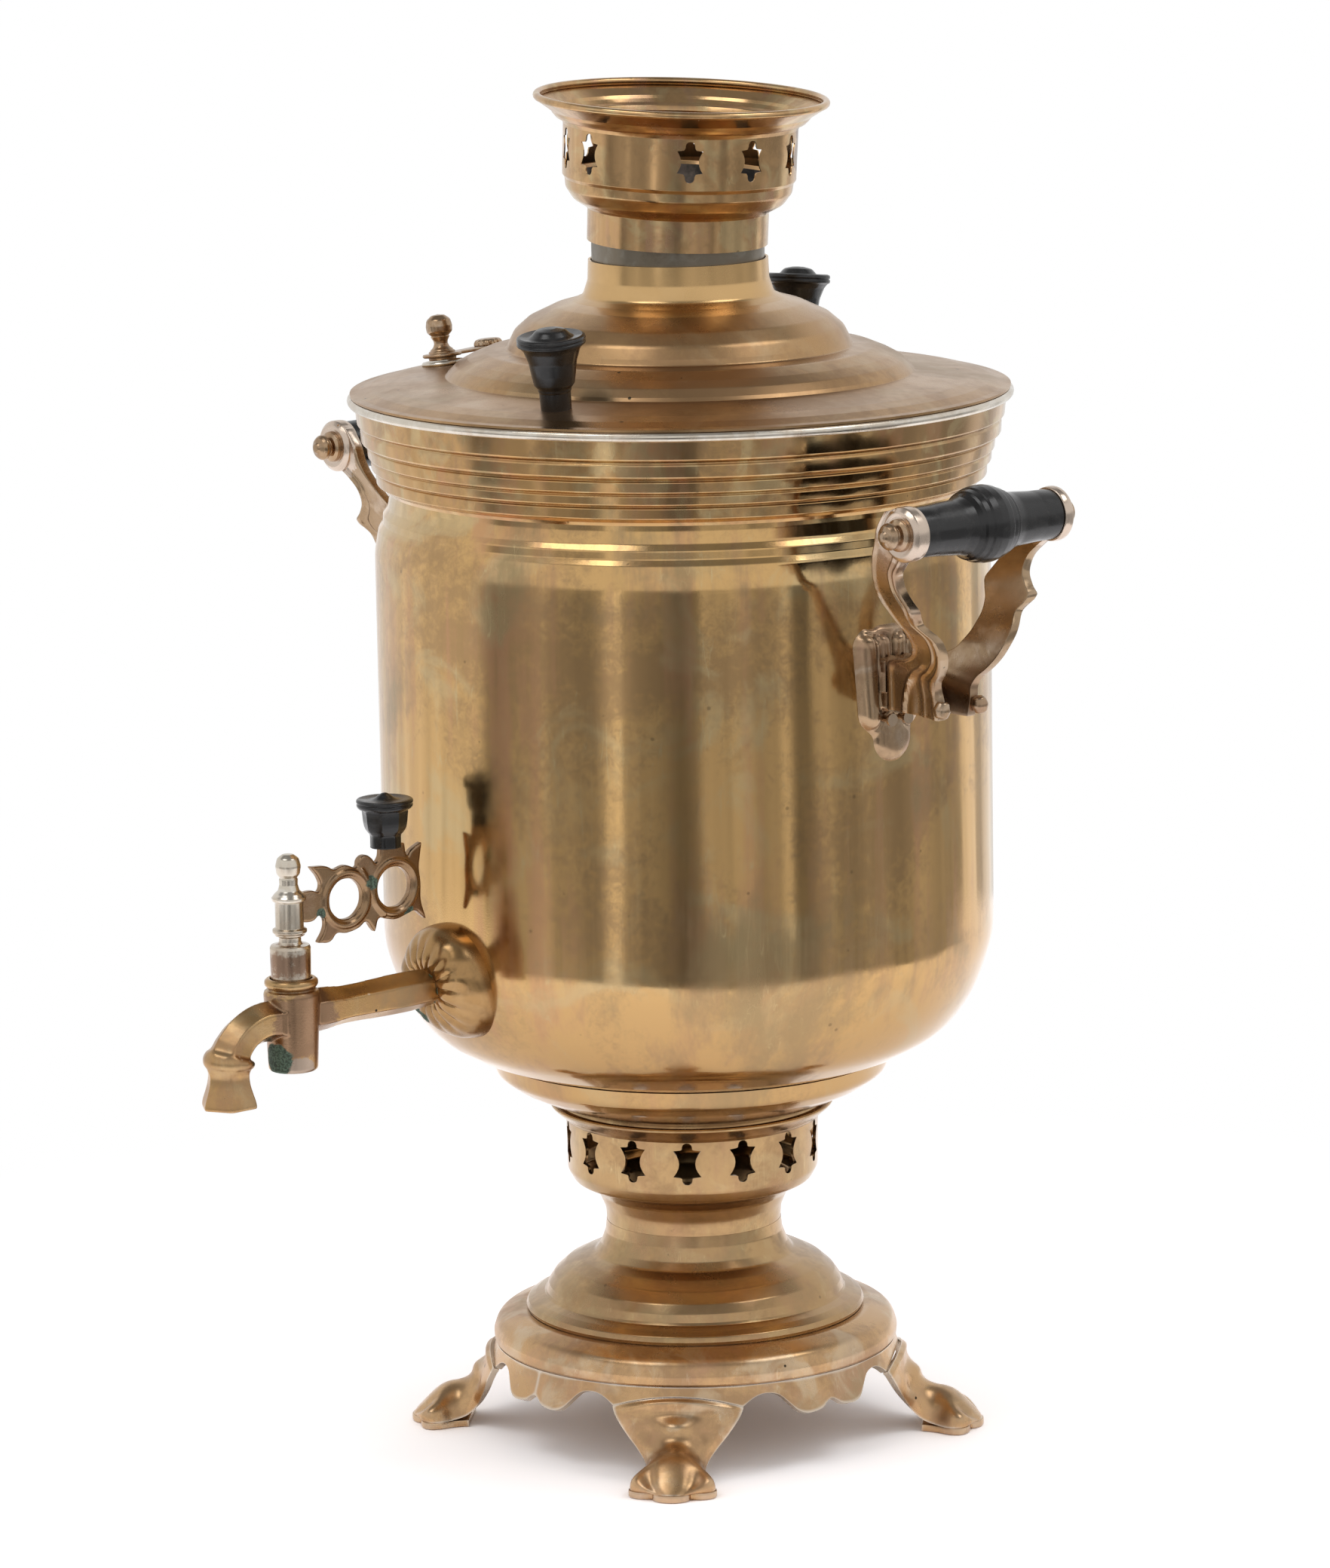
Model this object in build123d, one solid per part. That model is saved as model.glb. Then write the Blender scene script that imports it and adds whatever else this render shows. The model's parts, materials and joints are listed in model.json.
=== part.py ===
"""Charcoal samovar: a water vessel round a fire tube, with a plug tap, two handles and a crown.

Origin: on the vessel's axis, at the floor that the feet stand on. +Z is up, the tap points
towards -Y, the handles are at +X and -X, and the four feet are on the diagonals between them.
"""
from build123d import *
from math import atan2, degrees, radians, sin, sqrt
import os

# ---- driving dimensions, in mm ----

# sheet gauges
vessel_wall = 1.2
bowl_wall = 1.2
band_wall = 1.2
neck_wall = 1.5
pedestal_wall = 1.5
base_wall = 2.0
lid_wall = 1.0
crown_wall = 0.9
jug_wall = 1.5

# radii of the turned forms
body_radius = 114.1
body_foot_radius = 74.0
body_mouth_radius = body_radius - 5.8
band_top_radius = body_mouth_radius + 12.0
lid_bead_radius = band_top_radius + 1.3
jug_top_radius = 31.9
jug_foot_radius = 38.5
lid_neck_radius = jug_top_radius + 1.4
lid_dome_radius = body_radius - 28.1
crown_skirt_radius = jug_top_radius + 1.4
crown_wall_radius = crown_skirt_radius + 9.5
crown_rim_radius = crown_wall_radius + 10.5
flange_radius = 51.8
gallery_radius = flange_radius - 4.3
waist_radius = 32.8
pedestal_radius = 63.8
base_radius = pedestal_radius + 12.4

# heights: each piece rises from the one below it
base_top_height = 46.9
pedestal_rise = 33.6
gallery_flare_rise = 16.0
gallery_rise = 28.1
lower_bowl_rise = 20.6
vessel_rise = 220.8
band_lap = 6.0
band_rise = 31.4
lid_rise = 52.1
jug_rise = 15.5
crown_gap = 6.2
crown_rise = 51.9

waist_height = base_top_height + pedestal_rise
gallery_floor_height = waist_height + gallery_flare_rise
flange_height = gallery_floor_height + gallery_rise
body_foot_height = flange_height + lower_bowl_rise
body_mouth_height = body_foot_height + vessel_rise
band_foot_height = body_mouth_height - band_lap
band_top_height = band_foot_height + band_rise
lid_neck_height = band_top_height + lid_rise
jug_top_height = lid_neck_height + jug_rise
crown_skirt_height = lid_neck_height + crown_gap
crown_rim_height = crown_skirt_height + crown_rise

# clearances
slide_gap = 0.3
running_gap = 0.05
seat_gap = 0.05

# tap
tap_rise = 41.8
tap_height = body_foot_height + tap_rise
shank_across_corners = 13.8
barrel_top_radius = 9.9
barrel_foot_radius = 8.9
barrel_foot_height = tap_height - 20.2
barrel_top_height = tap_height + 9.6
plug_top_radius = 6.4
plug_foot_radius = 5.5
water_bore_radius = 3.4
rosette_radius = 20.8
rosette_reach = 12.4
spout_reach = 28.5
spout_mouth_height = tap_height - 29.0
mouth_across_corners = 19.4

# tap key
key_plate = 3.0
key_ring_hole = 8.2
key_ring_radius = 11.6
key_first_ring = 24.5
key_second_ring = 46.4
key_to_wall = 12.9
key_height = barrel_top_height + 28.8
key_tang_height = 9.2
key_tang_middle = -0.5
key_knob_radius = 10.2
tap_reach = body_radius + key_to_wall + key_ring_radius + key_second_ring

# handles
grip_axis_radius = body_radius + 50.5
grip_height = body_mouth_height - 4.4
grip_half_length = 32.0
grip_end_radius = 8.5
grip_bulge_radius = 14.0
rod_radius = 2.5
rod_half_length = 42.0
eye_radius = 9.6
eye_face = 38.2
bracket_plate = 3.2
bracket_foot_height = grip_height - 64.6
flange_width = 7.6
flange_length = 26.0
flange_plate = 2.0
pad_thickness = 4.0
pad_lobe_radius = 4.4
pad_lobe_turn = 12.4
pad_rivet_radius = 1.2

# lid fittings
fitting_circle = body_radius - 14.6
knob_heading = 24.0
knob_length = 29.6
knob_lip_radius = 12.4
knob_stem_radius = 5.3
knob_screw_radius = 2.0
vent_heading = -66.4
vent_radius = 7.8
vent_lip = 1.8
pivot_heading = -83.2
pivot_post_radius = 3.0
pivot_pin_radius = 1.5
cover_lift = 1.2
cover_plate = 1.2

# pierced work
vent_hole_count = 14
vent_hole_heading = 47.8
vent_hole_height = 15.5
vent_hole_width = 8.8
crown_hole_height = 15.0
crown_hole_width = 9.0
crown_lean = 3.3
crown_lean_heading = 102.0

# feet
foot_count = 4
foot_reach = 108.4
foot_width = 46.0
foot_wall = 2.6
sole_height = 2.4
apron_height = 22.0

os.makedirs("parts", exist_ok=True)


# ---- helpers ----

def place(heading, radius=0.0, height=0.0):
    """Location at a heading (degrees from -Y towards +X) and radius, local +X outwards."""
    return Rot(0, 0, heading - 90) * Pos(radius, 0, height)


def spun_sheet(points, radii, wall):
    """Sheet metal spun about Z; the points run up its outer face, with rounded corners."""
    outer = FilletPolyline(*points, radius=radii)
    strip = offset(outer, amount=wall, side=Side.LEFT)
    return revolve(Plane.XZ * make_face(strip), Axis.Z)


def turned(points):
    """Solid turned about Z from a closed outline of (radius, height) points."""
    return revolve(Plane.XZ * make_face(Polyline(*points, close=True)), Axis.Z)


def ring(outer, inner, low, high):
    """Plain ring between two heights."""
    return turned([(inner, low), (outer, low), (outer, high), (inner, high)])


def rod(radius, start, end):
    """Round bar between two points."""
    axis = Vector(*end) - Vector(*start)
    return extrude(Plane(start, z_dir=axis) * Circle(radius), axis.length)


def save(name, *shapes):
    """Write one node, whole or as a group of separate solids."""
    solids = [solid for shape in shapes for solid in shape.solids()]
    shape = solids[0] if len(solids) == 1 else Compound(solids)
    shape.label = name
    export_step(shape, f"parts/{name}.step")


# ---- vessel ----

def make_vessel():
    points = [(body_foot_radius, body_foot_height), (body_radius - 17.1, body_foot_height + 8),
              (body_radius, body_foot_height + 40.8), (body_radius, body_mouth_height - 30),
              (body_radius - 2, body_mouth_height - 15), (body_mouth_radius, body_mouth_height - 8.5),
              (body_mouth_radius, body_mouth_height)]
    shell = spun_sheet(points, [16, 44, 22, 4, 3], vessel_wall)
    tap_hole = rod(water_bore_radius, (0, -body_radius - 2, tap_height), (0, -body_radius + 4, tap_height))
    return shell - tap_hole


def make_jug():
    low, high = body_foot_height + 20, body_mouth_height - 26
    outside = [(jug_foot_radius, flange_height), (jug_foot_radius, low), (jug_top_radius, high),
               (jug_top_radius, jug_top_height)]
    inside = [(radius - jug_wall, height) for radius, height in reversed(outside)]
    return turned(outside + inside)


def make_vessel_floor():
    """Annular bottom of the water space, soldered to the jug and to the wall's lower edge."""
    inner, top = jug_foot_radius, body_foot_height
    outer = body_foot_radius - 1.2
    collar = ring(inner + vessel_wall, inner, top, top + 8)
    plate = ring(outer, inner, top - vessel_wall, top)
    return collar + plate


def make_grate():
    grate_radius = jug_foot_radius - jug_wall - slide_gap
    thickness, slot_width, slot_pitch = 4.0, 4.0, 8.0
    plate = extrude(Plane.XY.offset(flange_height) * Circle(grate_radius), thickness)
    for index in range(-3, 4):
        offset_x = index * slot_pitch
        length = 2 * sqrt((grate_radius - 5) ** 2 - offset_x ** 2)
        slot = Plane.XY.offset(flange_height) * Pos(offset_x, 0) * Rectangle(slot_width, length)
        plate -= extrude(slot, thickness)
    return plate


def make_lower_bowl():
    top_radius = body_foot_radius + 0.9
    points = [(flange_radius - 1.4, flange_height), (top_radius - 9, flange_height + 6.7),
              (top_radius, flange_height + 14.4), (top_radius, body_foot_height)]
    return spun_sheet(points, [14, 6], bowl_wall)


# ---- rim band and lid ----

def make_rim_band():
    foot = body_mouth_radius + band_wall + seat_gap
    top, low = band_top_radius, band_foot_height
    points = [(foot, low), (foot + 0.3, low + 2.5), (top - 7.6, low + 4.6), (top - 7.6, low + 9.8),
              (top - 4.9, low + 11.2), (top - 4.9, low + 16.2), (top - 2.3, low + 17.5),
              (top - 2.3, low + 23.4), (top, low + 24.8), (top, band_top_height)]
    return spun_sheet(points, [0.8, 1.3, 0.7, 0.7, 0.7, 0.7, 0.7, 0.7], band_wall)


lid_seat_height = band_top_height + seat_gap
lid_bead_section = 1.75
lid_lip_height = lid_seat_height + 2 * lid_bead_section + lid_wall + 2 * seat_gap


def dome_at(share):
    """Radius on the lid's dome, from its neck (0) to its foot (1)."""
    return lid_neck_radius + (lid_dome_radius - lid_neck_radius) * share


lid_outline = [(lid_bead_radius + 0.4, lid_lip_height),
               (lid_bead_radius - 4.4, lid_lip_height),
               (lid_bead_radius - 9.1, lid_seat_height + 6.8), (dome_at(1), lid_neck_height - 42.1),
               (dome_at(0.973), lid_neck_height - 38.3), (dome_at(0.734), lid_neck_height - 32.7),
               (dome_at(0.567), lid_neck_height - 33.0), (dome_at(0.526), lid_neck_height - 25.0),
               (dome_at(0.336), lid_neck_height - 18.0), (dome_at(0.099), lid_neck_height - 14.2),
               (lid_neck_radius, lid_neck_height - 9.0), (lid_neck_radius, lid_neck_height)]
lid_radii = [2.0, 5.0, 0.5, 3.5, 8.0, 0.5, 5.0, 12.0, 1.5, 4.0]
lid_slope = degrees(atan2(lid_outline[3][1] - lid_outline[2][1], lid_outline[2][0] - lid_outline[3][0]))


def lid_height_at(radius):
    """Height of the lid's upper face on the sloping part that carries its fittings."""
    (outer, low), (inner, high) = lid_outline[2], lid_outline[3]
    return low + (high - low) * (outer - radius) / (outer - inner)


def make_lid_sheet():
    shell = spun_sheet(lid_outline, lid_radii, lid_wall)
    collar_radius = band_top_radius - 2.3 - band_wall - slide_gap
    collar_top = lid_lip_height - lid_wall / 2
    shell += ring(collar_radius, collar_radius - lid_wall, band_top_height - 10, collar_top)
    for heading in (knob_heading, knob_heading + 180):
        shell -= fitting_frame(heading) * rod(knob_screw_radius, (0, 0, -20), (0, 0, 20))
    shell -= fitting_frame(vent_heading) * rod(vent_radius - 1.6, (0, 0, -20), (0, 0, 20))
    shell -= fitting_frame(pivot_heading) * rod(pivot_post_radius, (0, 0, -20), (0, 0, 20))
    return shell


def make_lid_bead():
    section = Pos(lid_bead_radius, lid_seat_height + lid_bead_section) * Circle(lid_bead_section)
    return revolve(Plane.XZ * section, Axis.Z)


def fitting_frame(heading):
    """On the lid's slope at a heading, local +Z square to the sheet and local +X down the slope."""
    return place(heading, fitting_circle, lid_height_at(fitting_circle)) * Rot(0, lid_slope, 0)


def make_lid_knob(heading):
    """Turned knob: a flared bell on a short stem, with a lip and a low dome."""
    top, stem = knob_length, knob_stem_radius
    lip, screw = knob_lip_radius, knob_screw_radius
    outline = [(screw, 0), (stem, 0), (stem, 6.8), (stem + 1.2, 8.4), (7.5, 12), (9.1, top - 11),
               (lip - 1.2, top - 6.4), (lip, top - 5), (lip, top - 3.8), (8.6, top - 3), (7.4, top - 2),
               (4.4, top - 0.6), (0, top), (0, top - 9), (screw, top - 9)]
    return fitting_frame(heading) * turned(outline)


def make_knob_screw(heading):
    """Screw up through the lid into a knob, with its washer and head inside."""
    head_radius, head_depth, washer_depth = 4.5, 2.0, 1.0
    seat = -lid_wall - 2 * seat_gap
    shank = rod(knob_screw_radius, (0, 0, seat - washer_depth), (0, 0, knob_length - 9))
    washer = rod(head_radius + 1.5, (0, 0, seat - washer_depth), (0, 0, seat))
    head = rod(head_radius, (0, 0, seat - washer_depth - head_depth), (0, 0, seat - washer_depth))
    return fitting_frame(heading) * (shank + washer + head)


# ---- steam vent on the lid ----

def make_vent_seat():
    """Short tube with a rolled lip, set in the steam hole."""
    tube_radius = vent_radius - 1.6
    outline = [(tube_radius - 1.2, -3), (tube_radius, -3), (tube_radius, 0), (vent_radius, 0.2),
               (vent_radius, vent_lip - 0.5), (vent_radius - 0.6, vent_lip), (tube_radius - 1.2, vent_lip)]
    return fitting_frame(vent_heading) * turned(outline)


def cover_frame():
    """At the pivot, local +X towards the vent, local +Z square to the chord between the two."""
    pivot, vent = fitting_frame(pivot_heading).position, fitting_frame(vent_heading).position
    towards = vent - pivot
    middle = fitting_frame((pivot_heading + vent_heading) / 2)
    normal = Plane(middle).z_dir
    return Plane(origin=pivot, x_dir=towards, z_dir=normal).location, towards.length


def make_vent_cover():
    """Disc with a ball finial, on a flat strip that swings aside about the pivot."""
    frame, reach = cover_frame()
    low = vent_lip + cover_lift
    disc = turned([(0, 0), (vent_radius - 1.2, 0), (vent_radius - 0.3, 0.5), (vent_radius - 0.3, 1.2),
                   (vent_radius - 3.0, 1.8), (0, 1.8)])
    finial = turned([(0, 1.6), (5.4, 1.8), (5.0, 2.6), (2.6, 4.6), (2.4, 6.4), (3.6, 8.0), (0, 8.0)])
    knob = disc + finial + Pos(0, 0, 11.4) * Sphere(4.6)
    strip = Pos(reach / 2, 0, cover_plate / 2) * Box(reach, 7.0, cover_plate)
    boss = Cylinder(5.2, cover_plate, align=(Align.CENTER, Align.CENTER, Align.MIN))
    hole = Cylinder(pivot_pin_radius + running_gap, 20)
    return frame * Pos(0, 0, low) * (Pos(reach, 0, 0) * knob + strip + boss - hole)


def make_vent_pivot():
    """Shouldered rivet in the lid: the cover turns on its pin, under a thumb-shaped head."""
    frame, reach = cover_frame()
    low = vent_lip + cover_lift
    pin_top = low + cover_plate + seat_gap
    rivet = turned([(0, -3), (pivot_post_radius, -3), (pivot_post_radius, low - seat_gap),
                    (pivot_pin_radius, low - seat_gap), (pivot_pin_radius, pin_top), (5.6, pin_top),
                    (5.9, pin_top + 1.2), (4.6, pin_top + 2.8), (0, pin_top + 3.4)])
    return frame * rivet


# ---- crown ----

crown_seat_height = jug_top_height + jug_top_radius * sin(radians(crown_lean)) + seat_gap


def leaned(shape):
    """Tilt the loose crown on the jug's mouth by its small lean."""
    pivot = Pos(0, 0, jug_top_height - 6.0)
    turn = Rot(0, 0, crown_lean_heading - 90) * Rot(0, crown_lean, 0) * Rot(0, 0, 90 - crown_lean_heading)
    return pivot * turn * pivot.inverse() * shape


def cartouche(width, height):
    """Pierced star: a waisted rectangle with four points and a round lobe at each end."""
    half_w, half_h = width / 2, height * 0.29
    lobe = width * 0.24
    sides = [Polyline((-half_w, half_h), (-lobe, half_h), (lobe, half_h), (half_w, half_h)),
             ThreePointArc((half_w, half_h), (half_w * 0.72, 0), (half_w, -half_h)),
             Polyline((half_w, -half_h), (-half_w, -half_h)),
             ThreePointArc((-half_w, -half_h), (-half_w * 0.72, 0), (-half_w, half_h))]
    return make_face(sides) + Rectangle(2 * lobe, height - 2 * lobe) + Pos(0, height / 2 - lobe) * Circle(
        lobe) + Pos(0, lobe - height / 2) * Circle(lobe)


def pierced(shell, headings, radius, height, width, tall):
    """Cut the same star through a turned wall at each heading."""
    cutters = []
    for heading in headings:
        plane = Plane(origin=(0, 0, height), x_dir=(0, 1, 0), z_dir=(1, 0, 0))
        cutter = extrude(plane.offset(radius - 6) * cartouche(width, tall), 12)
        cutters.append(place(heading) * cutter)
    return shell - cutters


def crown_headings():
    """The seam leaves one wider gap: holes run both ways from it at slightly unequal pitches."""
    forward = [55.1 + 32.4 * index for index in range(6)]
    backward = [0.1 - 25.0 * index for index in range(5)]
    return forward + backward


def make_crown():
    skirt, wall, rim = crown_skirt_radius, crown_wall_radius, crown_rim_radius
    points = [(skirt, crown_skirt_height), (skirt, jug_top_height + 0.5),
              (skirt + 4.7, jug_top_height + 2.5), (wall, jug_top_height + 13),
              (wall, crown_rim_height - 11), (wall + 3.4, crown_rim_height - 5.6),
              (rim, crown_rim_height)]
    shell = spun_sheet(points, [1.2, 5, 5, 3, 6], crown_wall)
    ledge = ring(skirt + 3.0, skirt - 6, crown_seat_height, crown_seat_height + 1.0)
    bead = revolve(Plane.XZ * Pos(rim, crown_rim_height) * Circle(1.35), Axis.Z)
    shell = shell + ledge + bead
    middle = crown_rim_height - 20.1
    shell = pierced(shell, crown_headings(), wall, middle, crown_hole_width, crown_hole_height)
    return leaned(shell)


# ---- gallery, waist and pedestal ----

def make_gallery():
    wall = gallery_radius
    points = [(waist_radius, waist_height), (waist_radius + 0.8, waist_height + 8),
              (waist_radius + 5, gallery_floor_height - 3.2), (wall - 3, gallery_floor_height - 0.5),
              (wall, gallery_floor_height + 4.5), (wall, flange_height - 1.2)]
    shell = spun_sheet(points, [10, 5, 3, 4], neck_wall)
    lip, inner, top = flange_radius, jug_foot_radius - 4, flange_height
    flange = turned([(inner, top - 2.0), (lip - 1.0, top - 2.4), (lip, top - 1.7), (lip, top - 0.7),
                     (lip - 0.8, top), (inner, top)])
    headings = [vent_hole_heading + index * 360 / vent_hole_count for index in range(vent_hole_count)]
    middle = (gallery_floor_height + flange_height) / 2 + 1.0
    return pierced(shell + flange, headings, wall, middle, vent_hole_width, vent_hole_height)


def make_pedestal():
    edge = pedestal_radius
    points = [(edge, base_top_height), (edge, base_top_height + 4.6), (edge - 6.4, base_top_height + 8.6),
              (edge - 9, base_top_height + 10), (edge - 14.8, base_top_height + 19),
              (waist_radius + 5.8, waist_height - 10.7), (waist_radius + 1.0, waist_height - 6.5),
              (waist_radius, waist_height)]
    return spun_sheet(points, [2.5, 0.8, 1.2, 8, 0.8, 3], pedestal_wall)


# ---- footed base ----

def apron_cutters():
    """What is cut from the apron's lower edge: round arches beside each foot and two lobes between."""
    arch_radius, arch_turn, lobe_radius, lobe_turn, notch_height = 8.6, 24.8, 9.5, 8.0, 3.3
    inner, outer = base_radius - 12, base_radius + 12
    between = ring(outer, inner, apron_height - 1, apron_height + notch_height)
    arches = []
    for index in range(2 * foot_count):
        side = 1 if index % 2 else -1
        quadrant = index // 2 * 90
        lobe = rod(lobe_radius, (inner, 0, 0), (outer, 0, 0))
        between -= place(quadrant + side * lobe_turn, 0, apron_height + lobe_radius) * lobe
        arch = rod(arch_radius, (inner, 0, 0), (outer, 0, 0))
        arches.append(place(quadrant + 45 + side * arch_turn, 0, apron_height) * arch)
    return [between] + arches


def foot_slice(height, inner, outer, width, wall=0.0):
    """Horizontal slice of a foot's leg; its place is in shares of the foot's reach, rise and width."""
    low, high, across = inner * foot_reach, outer * foot_reach, width * foot_width - 2 * wall
    corner = min(across, high - low) * 0.42
    shape = fillet(Rectangle(high - low, across).vertices(), corner)
    return Pos((low + high) / 2, 0, height * base_top_height) * shape


def make_toe(at, half_length, girth, lift):
    """Spindle-shaped toe lying along local X, blunt behind and pointed in front."""
    back, front = at[0] - half_length, at[0] + half_length
    upper = Spline((back, 0), (back + 0.28 * half_length, girth * 0.9), (at[0] - 0.1 * half_length, girth),
                   (at[0] + 0.55 * half_length, girth * 0.66), (front, 0))
    face = make_face([upper, Line((front, 0), (back, 0))])
    return Pos(0, at[1], lift) * revolve(Plane.XZ * face, Axis.X)


def make_foot(heading):
    """Paw foot: a hollow leg that narrows to an ankle, three toes and a three-lobed sole."""
    leg = [(0.70, 0.609, 0.720, 1.0), (0.554, 0.646, 0.749, 0.93), (0.426, 0.683, 0.779, 0.78),
           (0.298, 0.710, 0.835, 0.58), (0.171, 0.729, 0.867, 0.48), (0.0, 0.756, 0.876, 0.46)]
    inside = [(0.725, 0.554, 0.697, 1.0), (0.554, 0.572, 0.723, 0.93), (0.426, 0.609, 0.749, 0.78),
              (0.298, 0.627, 0.798, 0.58), (0.128, 0.646, 0.821, 0.48)]
    outer = loft([foot_slice(*section) for section in leg])
    hollow = loft([foot_slice(*section, wall=foot_wall) for section in inside])
    reach, unit = foot_reach, foot_reach / 100
    side_at, side_turn = reach - 8.9 * unit, 9.4 * unit
    paw = make_toe((reach - 11.1 * unit, 0), 11.25 * unit, 10.7 * unit, sole_height)
    sole = Pos(reach - 6.65 * unit, 0) * Circle(6.8 * unit)
    sole += Pos(reach - 13.8 * unit, 0) * Rectangle(13 * unit, 19.4 * unit)
    for side in (-1, 1):
        paw += make_toe((side_at, side * side_turn), 5.9 * unit, 5.25 * unit, sole_height)
        sole += Pos(side_at, side * side_turn) * Circle(5.1 * unit)
    below = Pos(reach, 0, -reach / 2) * Box(reach, reach, reach)
    return place(heading) * ((outer + paw - below) + extrude(sole, sole_height) - hollow)


def make_base():
    top, edge = base_top_height, base_radius
    points = [(edge + 3.6, apron_height), (edge, top - 10.9), (edge - 0.6, top - 7),
              (edge - 9, top - 0.4), (edge - 22, top)]
    shell = spun_sheet(points, [20, 5, 8], base_wall)
    shell -= apron_cutters()
    inside = turned([(0, -1), (edge - base_wall + 1.2, -1), (edge - base_wall - 0.4, top - 8),
                     (edge - 12, top - 3), (0, top - 3)])
    for index in range(foot_count):
        shell += make_foot(45 + index * 90) - inside
    return shell


# ---- handles ----

def mirror_side(shape, side):
    """A handle piece is modelled at +X and turned half round for the other side."""
    return shape if side > 0 else Rot(0, 0, 180) * shape


def vessel_block():
    """The space inside the vessel wall's outer face, beside the tap and the handles."""
    low, high = body_foot_height - 20, body_mouth_height + 20
    return ring(body_radius, 0, low, high)


def make_pad():
    """Puffed plate soldered to the wall: two lobes beside a flat seat, and a tongue below."""
    width, low, high, tongue = 34.0, grip_height - 80, grip_height - 41.6, grip_height - 90
    skin = pad_thickness - 1.4
    face = Plane(origin=(body_radius - 12, 0, 0), x_dir=(0, 1, 0), z_dir=(1, 0, 0))
    plate = Pos(0, (low + high) / 2) * RectangleRounded(width, high - low, 7)
    plate += Pos(0, (low + tongue) / 2 + 3) * RectangleRounded(18, low - tongue + 6, 5)
    pad = ring(body_radius + skin, 0, tongue - 10, high + 10) & extrude(face * plate, 30)
    for side in (-1, 1):
        along = side * pad_lobe_turn
        low_end, high_end = (body_radius, along, low + 7), (body_radius, along, high - 7)
        pad += rod(pad_lobe_radius, low_end, high_end)
        pad += Pos(*low_end) * Sphere(pad_lobe_radius) + Pos(*high_end) * Sphere(pad_lobe_radius)
    seat_size = (2 * pad_thickness, 2 * flange_width + 0.6, flange_length + 1.0)
    seat = Pos(body_radius, 0, bracket_foot_height) * Box(*seat_size)
    return pad + seat - vessel_block() - pad_rivet_shanks()


def pad_rivet_shanks():
    """Shanks from the wall through the pad and one flange, two for each bracket."""
    shanks = []
    end = body_radius + pad_thickness + flange_plate
    for along in (-flange_width / 2, flange_width / 2):
        for lift in (-flange_length / 2 + 2.4, flange_length / 2 - 2.4):
            height = bracket_foot_height + lift
            shanks.append(rod(pad_rivet_radius, (body_radius, along, height), (end, along, height)))
    return shanks


def bracket_outline():
    """Side view of one bracket: foot, scrolled arm and eye, in the X-Z plane."""
    x, z = grip_axis_radius, grip_height
    start = body_radius + pad_thickness + 0.6
    hook = Spline((x, z - 8.5), (x - 5.9, z - 15.8), (x - 7.2, z - 20), (x - 5.2, z - 24.8),
                  (x - 1.3, z - 29.6))
    outer = Spline((x - 1.3, z - 29.6), (x - 2.6, z - 33.6), (x - 1.7, z - 39.4), (x - 3.2, z - 45.4),
                   (x - 8, z - 54), (x - 13.4, z - 59.8), (x - 15.0, z - 71.2))
    foot = Polyline((x - 15.0, z - 71.2), (start, z - 71.2), (start, z - 55))
    inner = Spline((start, z - 55), (x - 33, z - 53), (x - 24.4, z - 48), (x - 21.4, z - 39),
                   (x - 21.4, z - 28.6), (x - 20.1, z - 18.8), (x - 13, z - 9), (x - 6, z - 3))
    face = make_face([hook, outer, foot, inner, Line((x - 6, z - 3), (x, z - 8.5))])
    return face + Pos(x, z) * Circle(eye_radius - 1)


def make_bracket(turn):
    """One bracket: a bent strip cut to the bracket's side view, with its eye and foot flange."""
    x, z = grip_axis_radius, grip_height
    foot, eye = flange_width - 1.2 - bracket_plate, eye_face - 1.6 - bracket_plate
    bend = FilletPolyline((foot, z - 76), (foot + 3.4, z - 62), (foot + 5.4, z - 53),
                          (foot + 13.6, z - 39.5), (foot + 21.4, z - 29), (foot + 24.4, z - 20),
                          (eye, z - 10), (eye, z + 16), radius=[8, 8, 8, 8, 5, 5])
    strip = make_face(offset(bend, amount=bracket_plate, side=Side.RIGHT))
    strip = extrude(Plane.YZ.offset(body_radius) * strip, 80)
    side_view = extrude(Plane.XZ * bracket_outline(), -60)
    arm = strip & side_view
    arm += rod(eye_radius, (x, grip_half_length + seat_gap, z), (x, eye_face, z))
    arm += Pos(x - 14.0, foot + 3.6, z - 67) * Sphere(3.2)
    flange_x = body_radius + pad_thickness + flange_plate / 2
    flange = Box(flange_plate, flange_width - 0.3, flange_length)
    arm += Pos(flange_x, flange_width / 2 + 0.15, bracket_foot_height) * flange
    arm -= rod(rod_radius + seat_gap, (x, 20, z), (x, 50, z))
    arm -= pad_rivet_shanks()
    return arm if turn > 0 else mirror(arm, Plane.XZ)


def make_grip():
    half, bulge, end = grip_half_length, grip_bulge_radius, grip_end_radius
    bore = rod_radius + seat_gap
    quarter = [(end, half), (end * 1.04, half * 0.84), (end * 1.19, half * 0.31),
               (bulge * 0.89, half * 0.225), (bulge * 0.935, half * 0.14), (bulge, half * 0.1)]
    mirrored = [(radius, -along) for radius, along in quarter]
    outline = [(bore, -half)] + mirrored + quarter[::-1] + [(bore, half)]
    return Pos(grip_axis_radius, 0, grip_height) * Rot(90, 0, 0) * turned(outline)


def make_tie_rod():
    x, end, z = grip_axis_radius, rod_half_length, grip_height
    return rod(rod_radius, (x, -end, z), (x, end, z))


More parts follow.
